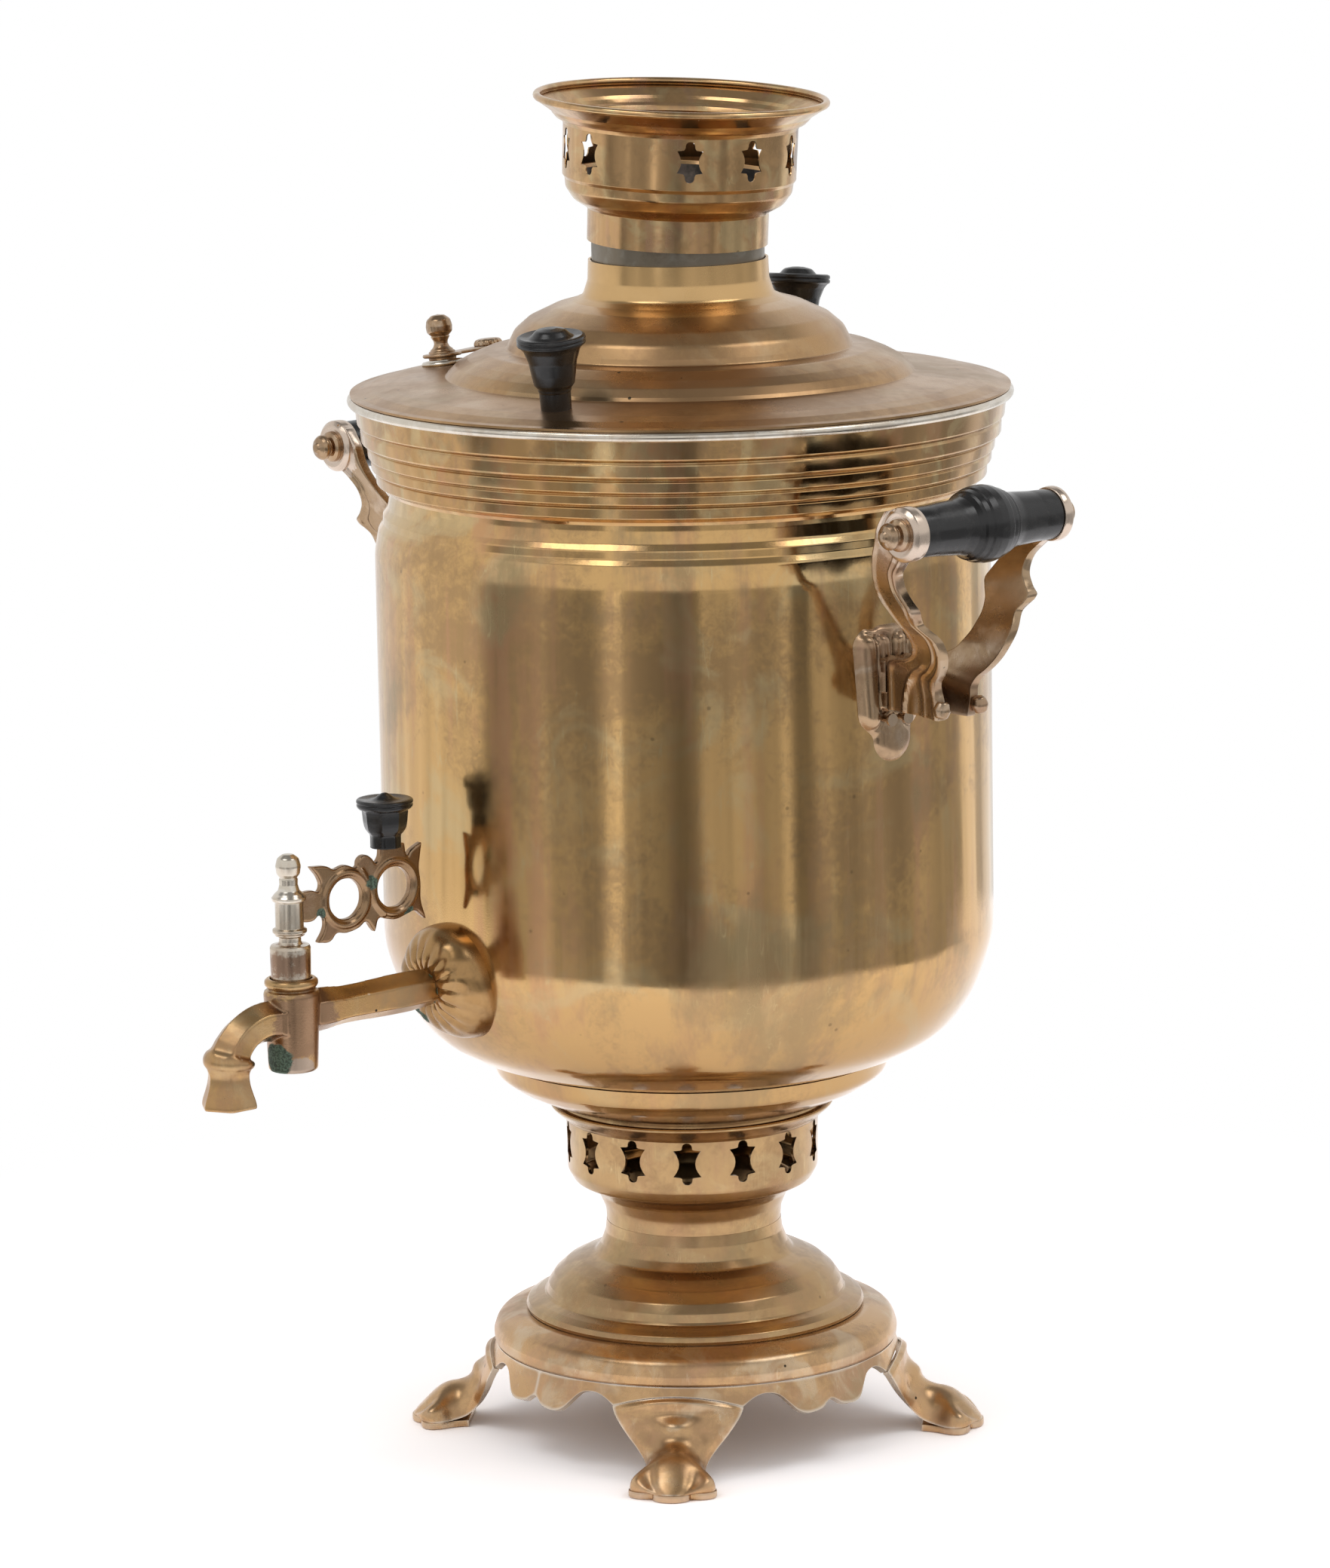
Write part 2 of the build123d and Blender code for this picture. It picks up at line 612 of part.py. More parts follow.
def make_ball_nuts():
    """Acorn nut outside each eye: a washer face, a neck and a ball."""
    low, bore, end = eye_face + seat_gap, rod_radius + seat_gap, rod_half_length + seat_gap
    outline = [(bore, low), (5.0, low), (5.0, low + 1.6), (2.9, low + 2.6), (3.2, low + 3.6),
               (3.4, low + 5.2), (2.4, low + 7.2), (0, low + 8.0), (0, end), (bore, end)]
    nut = turned(outline)
    at = Pos(grip_axis_radius, 0, grip_height)
    return [at * Rot(-90, 0, 0) * nut, at * Rot(90, 0, 0) * nut]


def make_pad_rivets():
    """Rivets that hold each bracket's foot flange to the pad, with low round heads."""
    head = 2.3
    rivets = []
    for shank in pad_rivet_shanks():
        middle = shank.center()
        face = body_radius + pad_thickness + flange_plate
        cap = rod(head, (face, middle.Y, middle.Z), (face + 1.0, middle.Y, middle.Z))
        rivets.append(shank + cap)
    return rivets


# ---- tap ----

def make_rosette():
    """Puffed boss that carries the tap on the vessel wall."""
    radius, front = rosette_radius, rosette_reach + 1.6
    foot = Polyline((0, 0), (radius, 0), (radius, 7))
    puff = Spline((radius, 7), (radius - 0.8, 8.6), (radius - 5, front - 0.6), (12, front + 1.6), (7, front))
    face = make_face([foot, puff, Polyline((7, front), (0, front), (0, 0))])
    dome = revolve(Plane.XZ * face, Axis.Z)
    dome = Pos(0, -body_radius + 3, tap_height + 1.0) * Rot(90, 0, 0) * dome
    wall, z = -body_radius, tap_height
    spigot = rod(shank_across_corners / 2 + seat_gap, (0, wall - 8, z), (0, wall - 30, z))
    bore = rod(water_bore_radius, (0, wall + 10, z), (0, wall - 30, z))
    return dome - spigot - bore - vessel_block()


def barrel_bore_radius(height):
    share = (height - barrel_foot_height) / (barrel_top_height - barrel_foot_height)
    return plug_foot_radius + (plug_top_radius - plug_foot_radius) * share + running_gap


def hexagon(across):
    return RegularPolygon(across / 2, 6, rotation=90)


def spout_path():
    y, z = -tap_reach, tap_height - 1.5
    drop = y - spout_reach
    points = [(0, y - 4, z), (0, y - 15, z + 1.0), (0, drop, z - 9), (0, drop, z - 19)]
    return FilletPolyline(*points, radius=[14, 8])


def make_tap_body():
    """Shank, barrel and spout in one casting, bored right through for the water."""
    y, z = -tap_reach, tap_height
    shank_start = -body_radius - 8 - seat_gap
    shank_plane = Plane((0, shank_start, z), x_dir=(1, 0, 0), z_dir=(0, -1, 0))
    shank = extrude(shank_plane * hexagon(shank_across_corners), tap_reach + shank_start)
    foot, top = barrel_foot_height, barrel_top_height
    barrel = turned([(0, foot), (barrel_foot_radius - 1, foot), (barrel_foot_radius, foot + 1),
                     (barrel_top_radius, top - 2.5), (barrel_top_radius, top), (0, top)])
    roll = ring(7.6, 0, top, top + 3.6) + revolve(Plane.XZ * Pos(7.6, top + 2.0) * Circle(1.6), Axis.Z)
    barrel = Pos(0, y) * (barrel + roll)
    path = spout_path()
    start_plane = Plane(path @ 0, x_dir=(1, 0, 0), z_dir=path % 0)
    spout = sweep(start_plane * hexagon(shank_across_corners + 1.4), path=path)
    mouth_y, collar_z = y - spout_reach, z - 13
    collar = [(17.2, collar_z), (15.4, collar_z - 3.5), (15.8, collar_z - 8),
              (mouth_across_corners, spout_mouth_height + 1.5),
              (mouth_across_corners - 1, spout_mouth_height)]
    rings = [Pos(0, mouth_y, height) * RegularPolygon(across / 2, 6) for across, height in collar]
    mouth = loft(rings, ruled=True)
    body = shank + barrel + spout + mouth
    water_start = (0, shank_start + 1, z)
    body -= rod(water_bore_radius, water_start, (0, y, z))
    body -= sweep(start_plane * Circle(water_bore_radius), path=path)
    body -= rod(water_bore_radius, (0, y, z - 1), (0, y - 6, z - 1.5))
    body -= rod(water_bore_radius + 1.6, (0, mouth_y, spout_mouth_height - 1), (0, mouth_y, z - 19))
    bore = turned([(0, foot - 1), (barrel_bore_radius(foot - 1), foot - 1), (barrel_bore_radius(top), top),
                   (plug_top_radius + 1.0, top + 1.2), (plug_top_radius + 1.0, top + 8), (0, top + 8)])
    return body - Pos(0, y) * bore


def make_plug():
    """Tapered plug with its cross passage, head and turned finial."""
    foot, top = barrel_foot_height - 0.4, barrel_top_height
    head, z = 7.0, key_height
    taper = [(0, foot), (barrel_bore_radius(foot) - running_gap, foot), (plug_top_radius, top),
             (plug_top_radius + 1.0 - running_gap, top + 1.3)]
    upper = [(head + 0.35, top + 4), (head, top + 16), (4.2, top + 16.4), (3.9, top + 19.4),
             (5.9, top + 19.9), (5.9, z - 7.0), (5.0, z - 6.6), (5.0, z + 4.1), (5.9, z + 4.5),
             (5.9, z + 5.8), (4.6, z + 6.4), (3.1, z + 8.4), (3.1, z + 10.6), (4.2, z + 13),
             (4.45, z + 15.6), (3.6, z + 18.2), (1.8, z + 19.8), (0, z + 20.1)]
    plug = turned(taper + upper)
    plug -= rod(water_bore_radius, (-20, 0, tap_height), (20, 0, tap_height))
    plug -= Pos(0, 4, z + key_tang_middle) * Box(key_plate, 10, key_tang_height)
    return Pos(0, -tap_reach) * plug


def key_outline():
    """Side view of the key: tang, two crossing rings with thorns, and the knob's stem."""
    first, second = key_first_ring, key_second_ring
    lift = 1.3
    tang = Pos(first / 2 - 3, key_tang_middle) * Rectangle(first - 4, key_tang_height)
    rings = Pos(first, 0.6) * Circle(key_ring_radius) + Pos(second, 0.6 + lift) * Circle(key_ring_radius)
    bridge = Pos((first + second) / 2, 0.6 + lift / 2) * Rectangle(8, 19)
    thorns = [[(12.0, 13.5), (17.5, 12.5), (20, 9), (14, 5), (15.0, 9.5)],
              [(12.8, -13.0), (18.5, -11.5), (21, -9), (15, -4), (14.4, -8.5)],
              [(31, 9), (31.5, 14), (34.5, 14.6), (38, 10)],
              [(31, -8), (33.0, -9.5), (37.5, -12.6), (39, -8)],
              [(52, 8), (54, 15.5), (58.0, 15.8), (57.5, 7), (55, 2)],
              [(56, -5), (58, -4), (59.8, -10.4), (56.5, -9.6), (51, -9)],
              [(second - 6.8, 10), (second - 5.6, 16.6), (second + 4.4, 16.6), (second + 5.6, 10)]]
    shape = tang + rings + bridge
    for thorn in thorns:
        shape += make_face(Polyline(*thorn, close=True))
    hole = Circle(key_ring_hole)
    return shape - Pos(first, 0.6) * hole - Pos(second, 0.6 + lift) * hole


def make_key():
    """Flat key that stands in the plug's slot, along the shank at rest."""
    plane = Plane(origin=(-key_plate / 2, -tap_reach, key_height), x_dir=(0, 1, 0), z_dir=(1, 0, 0))
    return extrude(plane * key_outline(), key_plate)


def make_key_knob():
    low = key_height + 16.6
    at = Pos(0, -tap_reach + key_second_ring - 0.6, low)
    radius = key_knob_radius
    collar = turned([(0, 0), (5.4, 0), (5.4, 2.2), (0, 2.2)])
    octagons = [Pos(0, 0, height) * RegularPolygon(across, 8) for across, height in ((7.2, 2.2), (8.4, 14))]
    body = loft(octagons, ruled=True)
    cap = turned([(0, 14.0), (radius - 1.4, 14.0), (radius, 14.8), (radius, 16.2), (radius - 2.4, 17.4),
                  (5, 17.8), (0, 19.7)])
    return at * (collar + body + cap)


# ---- build every node ----

save("vessel_wall", make_vessel())
save("vessel_floor", make_vessel_floor())
save("fire_jug", make_jug())
save("fire_grate", make_grate())
save("lower_bowl", make_lower_bowl())
save("rim_band", make_rim_band())
save("gallery_neck", make_gallery())
save("pedestal", make_pedestal())
save("footed_base", make_base())

save("lid_sheet", make_lid_sheet())
save("lid_bead", make_lid_bead())
save("lid_knob_front", make_lid_knob(knob_heading))
save("lid_knob_rear", make_lid_knob(knob_heading + 180))
save("lid_knob_screws", make_knob_screw(knob_heading), make_knob_screw(knob_heading + 180))
save("vent_seat", make_vent_seat())
save("vent_pivot", make_vent_pivot())
save("vent_cover", make_vent_cover())
save("crown", make_crown())

for side_name, side in (("right", 1), ("left", -1)):
    save(f"handle_pad_{side_name}", mirror_side(make_pad(), side))
    save(f"bracket_{side_name}_rear", mirror_side(make_bracket(side), side))
    save(f"bracket_{side_name}_front", mirror_side(make_bracket(-side), side))
    save(f"grip_{side_name}", mirror_side(make_grip(), side))
    save(f"tie_rod_{side_name}", mirror_side(make_tie_rod(), side))
    save(f"ball_nuts_{side_name}", *[mirror_side(nut, side) for nut in make_ball_nuts()])
    save(f"pad_rivets_{side_name}", *[mirror_side(rivet, side) for rivet in make_pad_rivets()])

save("tap_rosette", make_rosette())
save("tap_body", make_tap_body())
save("tap_plug", make_plug())
save("tap_key", make_key())
save("tap_key_knob", make_key_knob())
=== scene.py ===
import json
from math import cos, exp, pi, radians, sin, sqrt, tan
import bpy
from mathutils import Matrix, Vector


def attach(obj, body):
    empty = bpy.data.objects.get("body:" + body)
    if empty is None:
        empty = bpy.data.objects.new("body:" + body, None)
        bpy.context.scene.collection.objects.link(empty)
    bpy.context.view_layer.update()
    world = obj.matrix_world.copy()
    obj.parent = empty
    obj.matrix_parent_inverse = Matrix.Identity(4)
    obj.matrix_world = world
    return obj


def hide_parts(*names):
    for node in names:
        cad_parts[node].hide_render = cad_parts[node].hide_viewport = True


# Brass samovar: spun sheets, cast feet and brackets, plug tap, black knobs and grips.
# Sizes are in millimetres and become metres where a mesh is made.

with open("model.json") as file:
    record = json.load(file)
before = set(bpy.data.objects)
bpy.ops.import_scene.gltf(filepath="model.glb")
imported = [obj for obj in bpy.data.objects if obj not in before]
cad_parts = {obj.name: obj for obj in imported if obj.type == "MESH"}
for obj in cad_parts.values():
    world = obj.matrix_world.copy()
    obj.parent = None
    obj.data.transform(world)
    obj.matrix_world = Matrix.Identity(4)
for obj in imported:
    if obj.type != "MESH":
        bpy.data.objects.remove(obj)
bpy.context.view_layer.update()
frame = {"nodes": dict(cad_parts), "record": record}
mm = 0.001
print("frame loaded,", len(frame["nodes"]), "nodes")


def deselectAll():
    bpy.ops.object.select_all(action="DESELECT")


def pickOnly(piece):
    deselectAll()
    piece.select_set(True)
    bpy.context.view_layer.objects.active = piece


# camera, lamps and surroundings

cameraPlace = {
    "heading": 50.6,        # degrees from -Y towards +X
    "distance": 2485.0,
    "height": 713.7,
    "sideways": -8.1,
    "pitch": 10.6487,       # looking down
    "roll": -0.978,
    "lens": 183.33,
    "sensor": 36.0,
    "farthest": 60000.0,
}


def makeCamera(place):
    heading = radians(place["heading"])
    pitch = radians(place["pitch"])
    roll = radians(place["roll"])
    right = Vector((cos(heading), sin(heading), 0))
    outward = Vector((sin(heading), -cos(heading), 0))
    forward = -outward * cos(pitch) - Vector((0, 0, sin(pitch)))
    up = right.cross(forward)
    rolledRight = right * cos(roll) + up * sin(roll)
    rolledUp = up * cos(roll) - right * sin(roll)
    deselectAll()
    bpy.ops.object.camera_add()
    camera = bpy.context.object
    camera.name = "studioCamera"
    spot = outward * place["distance"] + right * place["sideways"] + Vector((0, 0, place["height"]))
    turn = Matrix((rolledRight, rolledUp, -forward)).transposed().to_4x4()
    camera.matrix_world = Matrix.Translation(spot * mm) @ turn
    camera.data.sensor_fit = "HORIZONTAL"
    camera.data.sensor_width = place["sensor"]
    camera.data.lens = place["lens"]
    camera.data.clip_end = place["farthest"] * mm
    bpy.context.scene.camera = camera


softBox = {
    # heading and elevation of each box in degrees, seen from the aim
    "places": {"left": (-2.0, 58.0), "right": (124.0, 56.0)},
    "aimHeight": 250.0, "distance": 1900.0, "width": 950.0, "tall": 600.0, "radiance": 2.7,
}


def makeSoftBox(name, box):
    heading, elevation = (radians(angle) for angle in box["places"][name])
    outward = Vector((sin(heading) * cos(elevation), -cos(heading) * cos(elevation), sin(elevation)))
    aim = Vector((0, 0, box["aimHeight"] * mm))
    deselectAll()
    bpy.ops.object.light_add(type="AREA", location=aim + outward * box["distance"] * mm)
    lamp = bpy.context.object
    lamp.name = "softBox_" + name
    lamp.rotation_euler = outward.to_track_quat("Z", "Y").to_euler()
    lamp.data.shape = "RECTANGLE"
    lamp.data.size = box["width"] * mm
    lamp.data.size_y = box["tall"] * mm
    lamp.data.energy = box["radiance"] * pi * lamp.data.size * lamp.data.size_y


# small helpers for node trees

def newMaterial(name):
    material = bpy.data.materials.new(name)
    material.use_nodes = True
    material.node_tree.nodes.clear()
    return material, material.node_tree


def addNode(tree, kind, inputs=None, **settings):
    node = tree.nodes.new(kind)
    for setting, value in settings.items():
        setattr(node, setting, value)
    for socket, value in (inputs or {}).items():
        if isinstance(value, bpy.types.NodeSocket):
            tree.links.new(value, node.inputs[socket])
        else:
            node.inputs[socket].default_value = value
    return node


def math(tree, operation, first, second=0.5, clamp=False):
    node = addNode(tree, "ShaderNodeMath", {0: first, 1: second}, operation=operation, use_clamp=clamp)
    return node.outputs[0]


def ramp(tree, factor, low, high, lowValue=0.0, highValue=1.0):
    node = addNode(tree, "ShaderNodeMapRange", {"Value": factor, "From Min": low, "From Max": high,
                                                "To Min": lowValue, "To Max": highValue})
    node.interpolation_type = "SMOOTHSTEP"
    return node.outputs[0]


def onObject(tree):
    return addNode(tree, "ShaderNodeTexCoord").outputs["Object"]


def weightedSum(tree, first, firstShare, second, secondShare):
    return math(tree, "ADD", math(tree, "MULTIPLY", first, firstShare), math(tree, "MULTIPLY", second, secondShare))


def blendColour(tree, factor, first, second):
    node = addNode(tree, "ShaderNodeMix", data_type="RGBA", blend_type="MIX")
    for index, value in ((0, factor), (6, first), (7, second)):
        if isinstance(value, bpy.types.NodeSocket):
            tree.links.new(value, node.inputs[index])
        elif index == 0:
            node.inputs[index].default_value = value
        else:
            node.inputs[index].default_value = (*value, 1)
    return node.outputs[2]


def stretchedNoise(tree, scale, stretch=(1, 1, 1), detail=3.0, roughness=0.55, distortion=0.0, shift=(0, 0, 0)):
    mapping = addNode(tree, "ShaderNodeMapping", {"Vector": onObject(tree), "Scale": stretch, "Location": shift})
    noise = addNode(tree, "ShaderNodeTexNoise", {"Vector": mapping.outputs[0], "Scale": scale, "Detail": detail,
                                                 "Roughness": roughness, "Distortion": distortion})
    return noise.outputs[0]


def endMaterial(tree, shader):
    addNode(tree, "ShaderNodeOutputMaterial", {0: shader.outputs[0]})


surroundings = {
    "white": 1.0,           # what the camera sees behind the object
    "level": 0.80,          # what lights dull surfaces
    "sweep": 0.92,          # bright paper seen in the metal
    "wallTop": 0.68,        # sine of the elevation where bright walls give way to the ceiling
    "ceiling": 0.30,
    "softness": 0.10,       # sine of the elevation over which room, sweep and ceiling change
    "wander": 0.05,         # how far the room's bands stray, in radians
    "edgeSoftness": 16.0,
    # how far the table's edge stands off, by heading
    "tableEdge": [(0, 782), (12, 755), (22, 690), (40, 620), (58, 560), (70, 550), (85, 600), (97, 650), (112, 730),
                  (140, 715), (152, 755), (160, 880), (172, 1000), (342, 1000), (348, 840), (354, 795)],
    # what stands beyond the table, seen in the metal: heading where it starts, brightness
    "room": [(0, 0.44), (21, 1.05), (27, 0.46), (33, 0.32), (45, 0.20), (55, 0.56), (63, 0.62), (74, 0.42),
             (84, 0.76), (88, 0.22), (97, 0.60), (102, 0.40), (113, 0.52), (126, 0.40), (138, 0.54), (150, 0.44),
             (171, 1.1), (183, 0.62), (190, 0.95), (331, 0.26), (341, 0.54), (355, 0.74)],
}


def byHeading(tree, direction, values, interpolation, sway):
    # a value that changes with the heading from -Y towards +X
    parts = addNode(tree, "ShaderNodeSeparateXYZ", {0: direction})
    ragged = addNode(tree, "ShaderNodeTexNoise", {"Vector": direction, "Scale": 7.0, "Detail": 3.0}).outputs[0]
    turn = math(tree, "ARCTAN2", parts.outputs[0], math(tree, "MULTIPLY", parts.outputs[1], -1.0))
    turn = math(tree, "ADD", turn, math(tree, "MULTIPLY", math(tree, "SUBTRACT", ragged, 0.5), sway))
    share = math(tree, "FRACT", math(tree, "DIVIDE", turn, 2 * pi))
    bands = addNode(tree, "ShaderNodeValToRGB", {0: share})
    bands.color_ramp.interpolation = interpolation
    for index, (heading, value) in enumerate(values):
        stops = bands.color_ramp.elements
        stop = stops[0] if index == 0 else stops.new(heading / 360)
        stop.position = heading / 360
        stop.color = (value, value, value, 1)
    stops.remove(stops[len(stops) - 1])
    return bands.outputs[0]


def roomBrightness(tree, direction, look):
    # brightness of the surroundings below eye level
    bands = byHeading(tree, direction, look["room"], "CONSTANT", look["wander"])
    smoke = addNode(tree, "ShaderNodeTexNoise", {"Vector": direction, "Scale": 16.0, "Detail": 4.0}).outputs[0]
    return math(tree, "MULTIPLY", bands, ramp(tree, smoke, 0.3, 0.7, 0.8, 1.2))


def makeWorld(look):
    world = bpy.data.worlds.new("studioWorld")
    bpy.context.scene.world = world
    world.use_nodes = True
    tree = world.node_tree
    tree.nodes.clear()
    direction = addNode(tree, "ShaderNodeTexCoord").outputs["Generated"]
    parts = addNode(tree, "ShaderNodeSeparateXYZ", {0: direction})
    softness = look["softness"]
    high = ramp(tree, parts.outputs[2], 0.0, softness)
    level = addNode(tree, "ShaderNodeMix", {0: high, 2: roomBrightness(tree, direction, look), 3: look["sweep"]})
    overhead = ramp(tree, parts.outputs[2], look["wallTop"] - softness, look["wallTop"] + softness)
    level = addNode(tree, "ShaderNodeMix", {0: overhead, 2: level.outputs[0], 3: look["ceiling"]})
    rays = addNode(tree, "ShaderNodeLightPath")
    reflected = addNode(tree, "ShaderNodeMix", {0: rays.outputs["Is Glossy Ray"], 2: look["level"],
                                                3: level.outputs[0]})
    seen = addNode(tree, "ShaderNodeMix", {0: rays.outputs["Is Camera Ray"], 2: reflected.outputs[0],
                                           3: look["white"]})
    background = addNode(tree, "ShaderNodeBackground", {"Strength": seen.outputs[0], "Color": (1, 1, 1, 1)})
    addNode(tree, "ShaderNodeOutputWorld", {0: background.outputs[0]})


floorLook = {
    "size": 14000.0, "below": 0.2, "colour": (0.93, 0.918, 0.935),
    "lift": 0.5,            # how much brighter the paper is to the camera and in the metal
    "nearWhite": 210.0, "farWhite": 520.0,      # where the paper starts and ends to turn white
}


def makeFloor(look):
    deselectAll()
    bpy.ops.mesh.primitive_plane_add(size=look["size"] * mm, location=(0, 0, -look["below"] * mm))
    floor = bpy.context.object
    floor.name = "paperFloor"
    material, tree = newMaterial("palePaper")
    place = addNode(tree, "ShaderNodeNewGeometry").outputs["Position"]
    away = addNode(tree, "ShaderNodeVectorMath", {0: place}, operation="LENGTH").outputs["Value"]
    rays = addNode(tree, "ShaderNodeLightPath")
    direct = math(tree, "ADD", rays.outputs["Is Camera Ray"], rays.outputs["Is Glossy Ray"])
    lift = math(tree, "MULTIPLY_ADD", direct, look["lift"])
    lift.node.inputs[2].default_value = 1.0
    paperColour = addNode(tree, "ShaderNodeVectorMath", {0: look["colour"]}, operation="SCALE")
    tree.links.new(lift, paperColour.inputs["Scale"])
    paper = addNode(tree, "ShaderNodeBsdfDiffuse", {"Color": paperColour.outputs[0]})
    glow = addNode(tree, "ShaderNodeEmission", {"Color": (1, 1, 1, 1), "Strength": surroundings["white"]})
    far = ramp(tree, away, look["nearWhite"] * mm, look["farWhite"] * mm)
    farSeen = math(tree, "MULTIPLY", far, rays.outputs["Is Camera Ray"])
    seen = addNode(tree, "ShaderNodeMixShader", {0: farSeen, 1: paper.outputs[0], 2: glow.outputs[0]})
    heading = addNode(tree, "ShaderNodeVectorMath", {0: place}, operation="NORMALIZE").outputs[0]
    room = roomBrightness(tree, heading, surroundings)
    dim = addNode(tree, "ShaderNodeEmission", {"Color": (1, 1, 1, 1), "Strength": room})
    edges = [(turn, distance * mm) for turn, distance in surroundings["tableEdge"]]
    edge = byHeading(tree, heading, edges, "LINEAR", 0.0)
    softness = surroundings["edgeSoftness"] * mm
    beyond = ramp(tree, math(tree, "SUBTRACT", away, edge), -softness, softness)
    beyondInMetal = math(tree, "MULTIPLY", beyond, rays.outputs["Is Glossy Ray"])
    surface = addNode(tree, "ShaderNodeMixShader", {0: beyondInMetal, 1: seen.outputs[0], 2: dim.outputs[0]})
    endMaterial(tree, surface)
    floor.data.materials.append(material)


makeCamera(cameraPlace)
for boxName in softBox["places"]:
    makeSoftBox(boxName, softBox)
makeWorld(surroundings)
makeFloor(floorLook)
bpy.context.scene.view_settings.view_transform = "Standard"
print("camera, lamps and floor ready")


# finishes

brassLook = {
    "gold": (0.600, 0.375, 0.155), "brown": (0.360, 0.225, 0.110), "rosy": (0.530, 0.285, 0.155),
    "pale": (0.560, 0.430, 0.230), "olive": (0.300, 0.235, 0.120), "roughness": (0.08, 0.22),
    "streak": (52, 52, 2.4), "patch": 11.0, "brownShare": 0.75, "rosyShare": 0.65, "paleShare": 0.6,
    "oliveShare": 0.75, "bump": 0.05, "waves": 0.35, "grimeAndCreaseShade": 0.7, "wear": 0.0, "scratches": 0.7, "pits": 0.35,
    "brownerBelow": (165.0, 225.0, 0.45),
}
castBrassLook = {
    "gold": (0.540, 0.340, 0.170), "brown": (0.330, 0.205, 0.115), "rosy": (0.510, 0.290, 0.180),
    "pale": (0.620, 0.500, 0.350), "olive": (0.330, 0.265, 0.150), "roughness": (0.22, 0.38),
    "streak": (30, 30, 30), "patch": 24.0, "brownShare": 0.65, "rosyShare": 0.5, "paleShare": 0.5,
    "oliveShare": 0.5, "bump": 0.14, "waves": 0.2, "grimeAndCreaseShade": 0.9, "wear": 0.5, "scratches": 0.5, "pits": 1.0,
}
lidLook = {
    "gold": (0.440, 0.270, 0.130), "brown": (0.300, 0.180, 0.095), "rosy": (0.420, 0.250, 0.140),
    "pale": (0.500, 0.370, 0.220), "olive": (0.290, 0.220, 0.120), "roughness": (0.24, 0.38),
    "streak": (20, 20, 20), "patch": 14.0, "brownShare": 0.6, "rosyShare": 0.5, "paleShare": 0.4,
    "oliveShare": 0.4, "bump": 0.07, "waves": 0.2, "grimeAndCreaseShade": 0.7, "wear": 0.0, "scratches": 0.3, "pits": 1.0,
    "polishedAbove": (424.0, 433.0), "polished": (0.660, 0.430, 0.190), "polishedShare": 0.75, "polishedGloss": 0.2,
}
copperLook = {
    "gold": (0.410, 0.280, 0.170), "brown": (0.260, 0.170, 0.105), "rosy": (0.410, 0.255, 0.170),
    "pale": (0.600, 0.490, 0.380), "olive": (0.270, 0.210, 0.130), "roughness": (0.18, 0.34),
    "streak": (40, 40, 40), "patch": 34.0, "brownShare": 0.6, "rosyShare": 0.7, "paleShare": 0.4,
    "oliveShare": 0.3, "bump": 0.12, "waves": 0.2, "grimeAndCreaseShade": 1.0, "wear": 0.4, "scratches": 0.4, "pits": 0.8,
}
tinLook = {
    "gold": (0.620, 0.560, 0.470), "brown": (0.400, 0.320, 0.240), "rosy": (0.560, 0.430, 0.320),
    "pale": (0.760, 0.720, 0.660), "olive": (0.300, 0.260, 0.180), "roughness": (0.16, 0.32),
    "streak": (60, 60, 20), "patch": 50.0, "brownShare": 0.35, "rosyShare": 0.4, "paleShare": 0.4,
    "oliveShare": 0.15, "bump": 0.04, "waves": 0.1, "grimeAndCreaseShade": 0.8, "wear": 0.3, "scratches": 0.3, "pits": 0.5,
}
greyTubeLook = {
    "gold": (0.200, 0.170, 0.130), "brown": (0.120, 0.095, 0.070), "rosy": (0.220, 0.150, 0.100),
    "pale": (0.280, 0.260, 0.220), "olive": (0.150, 0.140, 0.090), "roughness": (0.32, 0.48),
    "streak": (60, 60, 6), "patch": 30.0, "brownShare": 0.5, "rosyShare": 0.3, "paleShare": 0.5,
    "oliveShare": 0.3, "bump": 0.12, "waves": 0.1, "grimeAndCreaseShade": 0.5, "wear": 0.0, "scratches": 0.2, "pits": 0.5,
}
stains = {
    # the first colour darkens small pits, and in concave places it is grime with painted shade in the creases
    "grimeAndCreaseShade": (0.045, 0.035, 0.022), "soot": (0.02, 0.018, 0.014),
    "verdigris": [(0.030, 0.045, 0.030), (0.095, 0.145, 0.100)],
}


def share(tree, pattern, low, high, most):
    return math(tree, "MULTIPLY", ramp(tree, pattern, low, high), most)


def scratchLines(tree, turn, scale, width):
    # long thin marks that run one way
    mapping = addNode(tree, "ShaderNodeMapping", {"Vector": onObject(tree), "Rotation": turn,
                                                  "Scale": (1, 1, 0.035)})
    noise = addNode(tree, "ShaderNodeTexNoise", {"Vector": mapping.outputs[0], "Scale": scale, "Detail": 1.0})
    middle = math(tree, "ABSOLUTE", math(tree, "SUBTRACT", noise.outputs[0], 0.5))
    return ramp(tree, middle, 0.0, width, 1.0, 0.0)


def smallPits(tree, scale, size):
    cells = addNode(tree, "ShaderNodeTexVoronoi", {"Vector": onObject(tree), "Scale": scale})
    lot = addNode(tree, "ShaderNodeSeparateColor", {0: cells.outputs["Color"]})
    reach = math(tree, "MULTIPLY", ramp(tree, lot.outputs[0], 0.72, 1.0), size)
    edge = math(tree, "SUBTRACT", reach, cells.outputs["Distance"])
    return ramp(tree, edge, 0.0, size * 0.3)


def spotsOf(tree, spots, pattern):
    # ragged share round each spot (x, y, z, reach in millimetres)
    place = onObject(tree)
    total = None
    for x, y, z, reach in spots:
        away = addNode(tree, "ShaderNodeVectorMath", {0: place, 1: (x * mm, y * mm, z * mm)}, operation="DISTANCE")
        near = ramp(tree, away.outputs["Value"], reach * 0.35 * mm, reach * mm, 1.0, 0.0)
        total = near if total is None else math(tree, "MAXIMUM", total, near)
    ragged = math(tree, "ADD", total, math(tree, "SUBTRACT", pattern, 0.5))
    return ramp(tree, math(tree, "MULTIPLY", ragged, ramp(tree, total, 0.0, 0.1)), 0.40, 0.62)


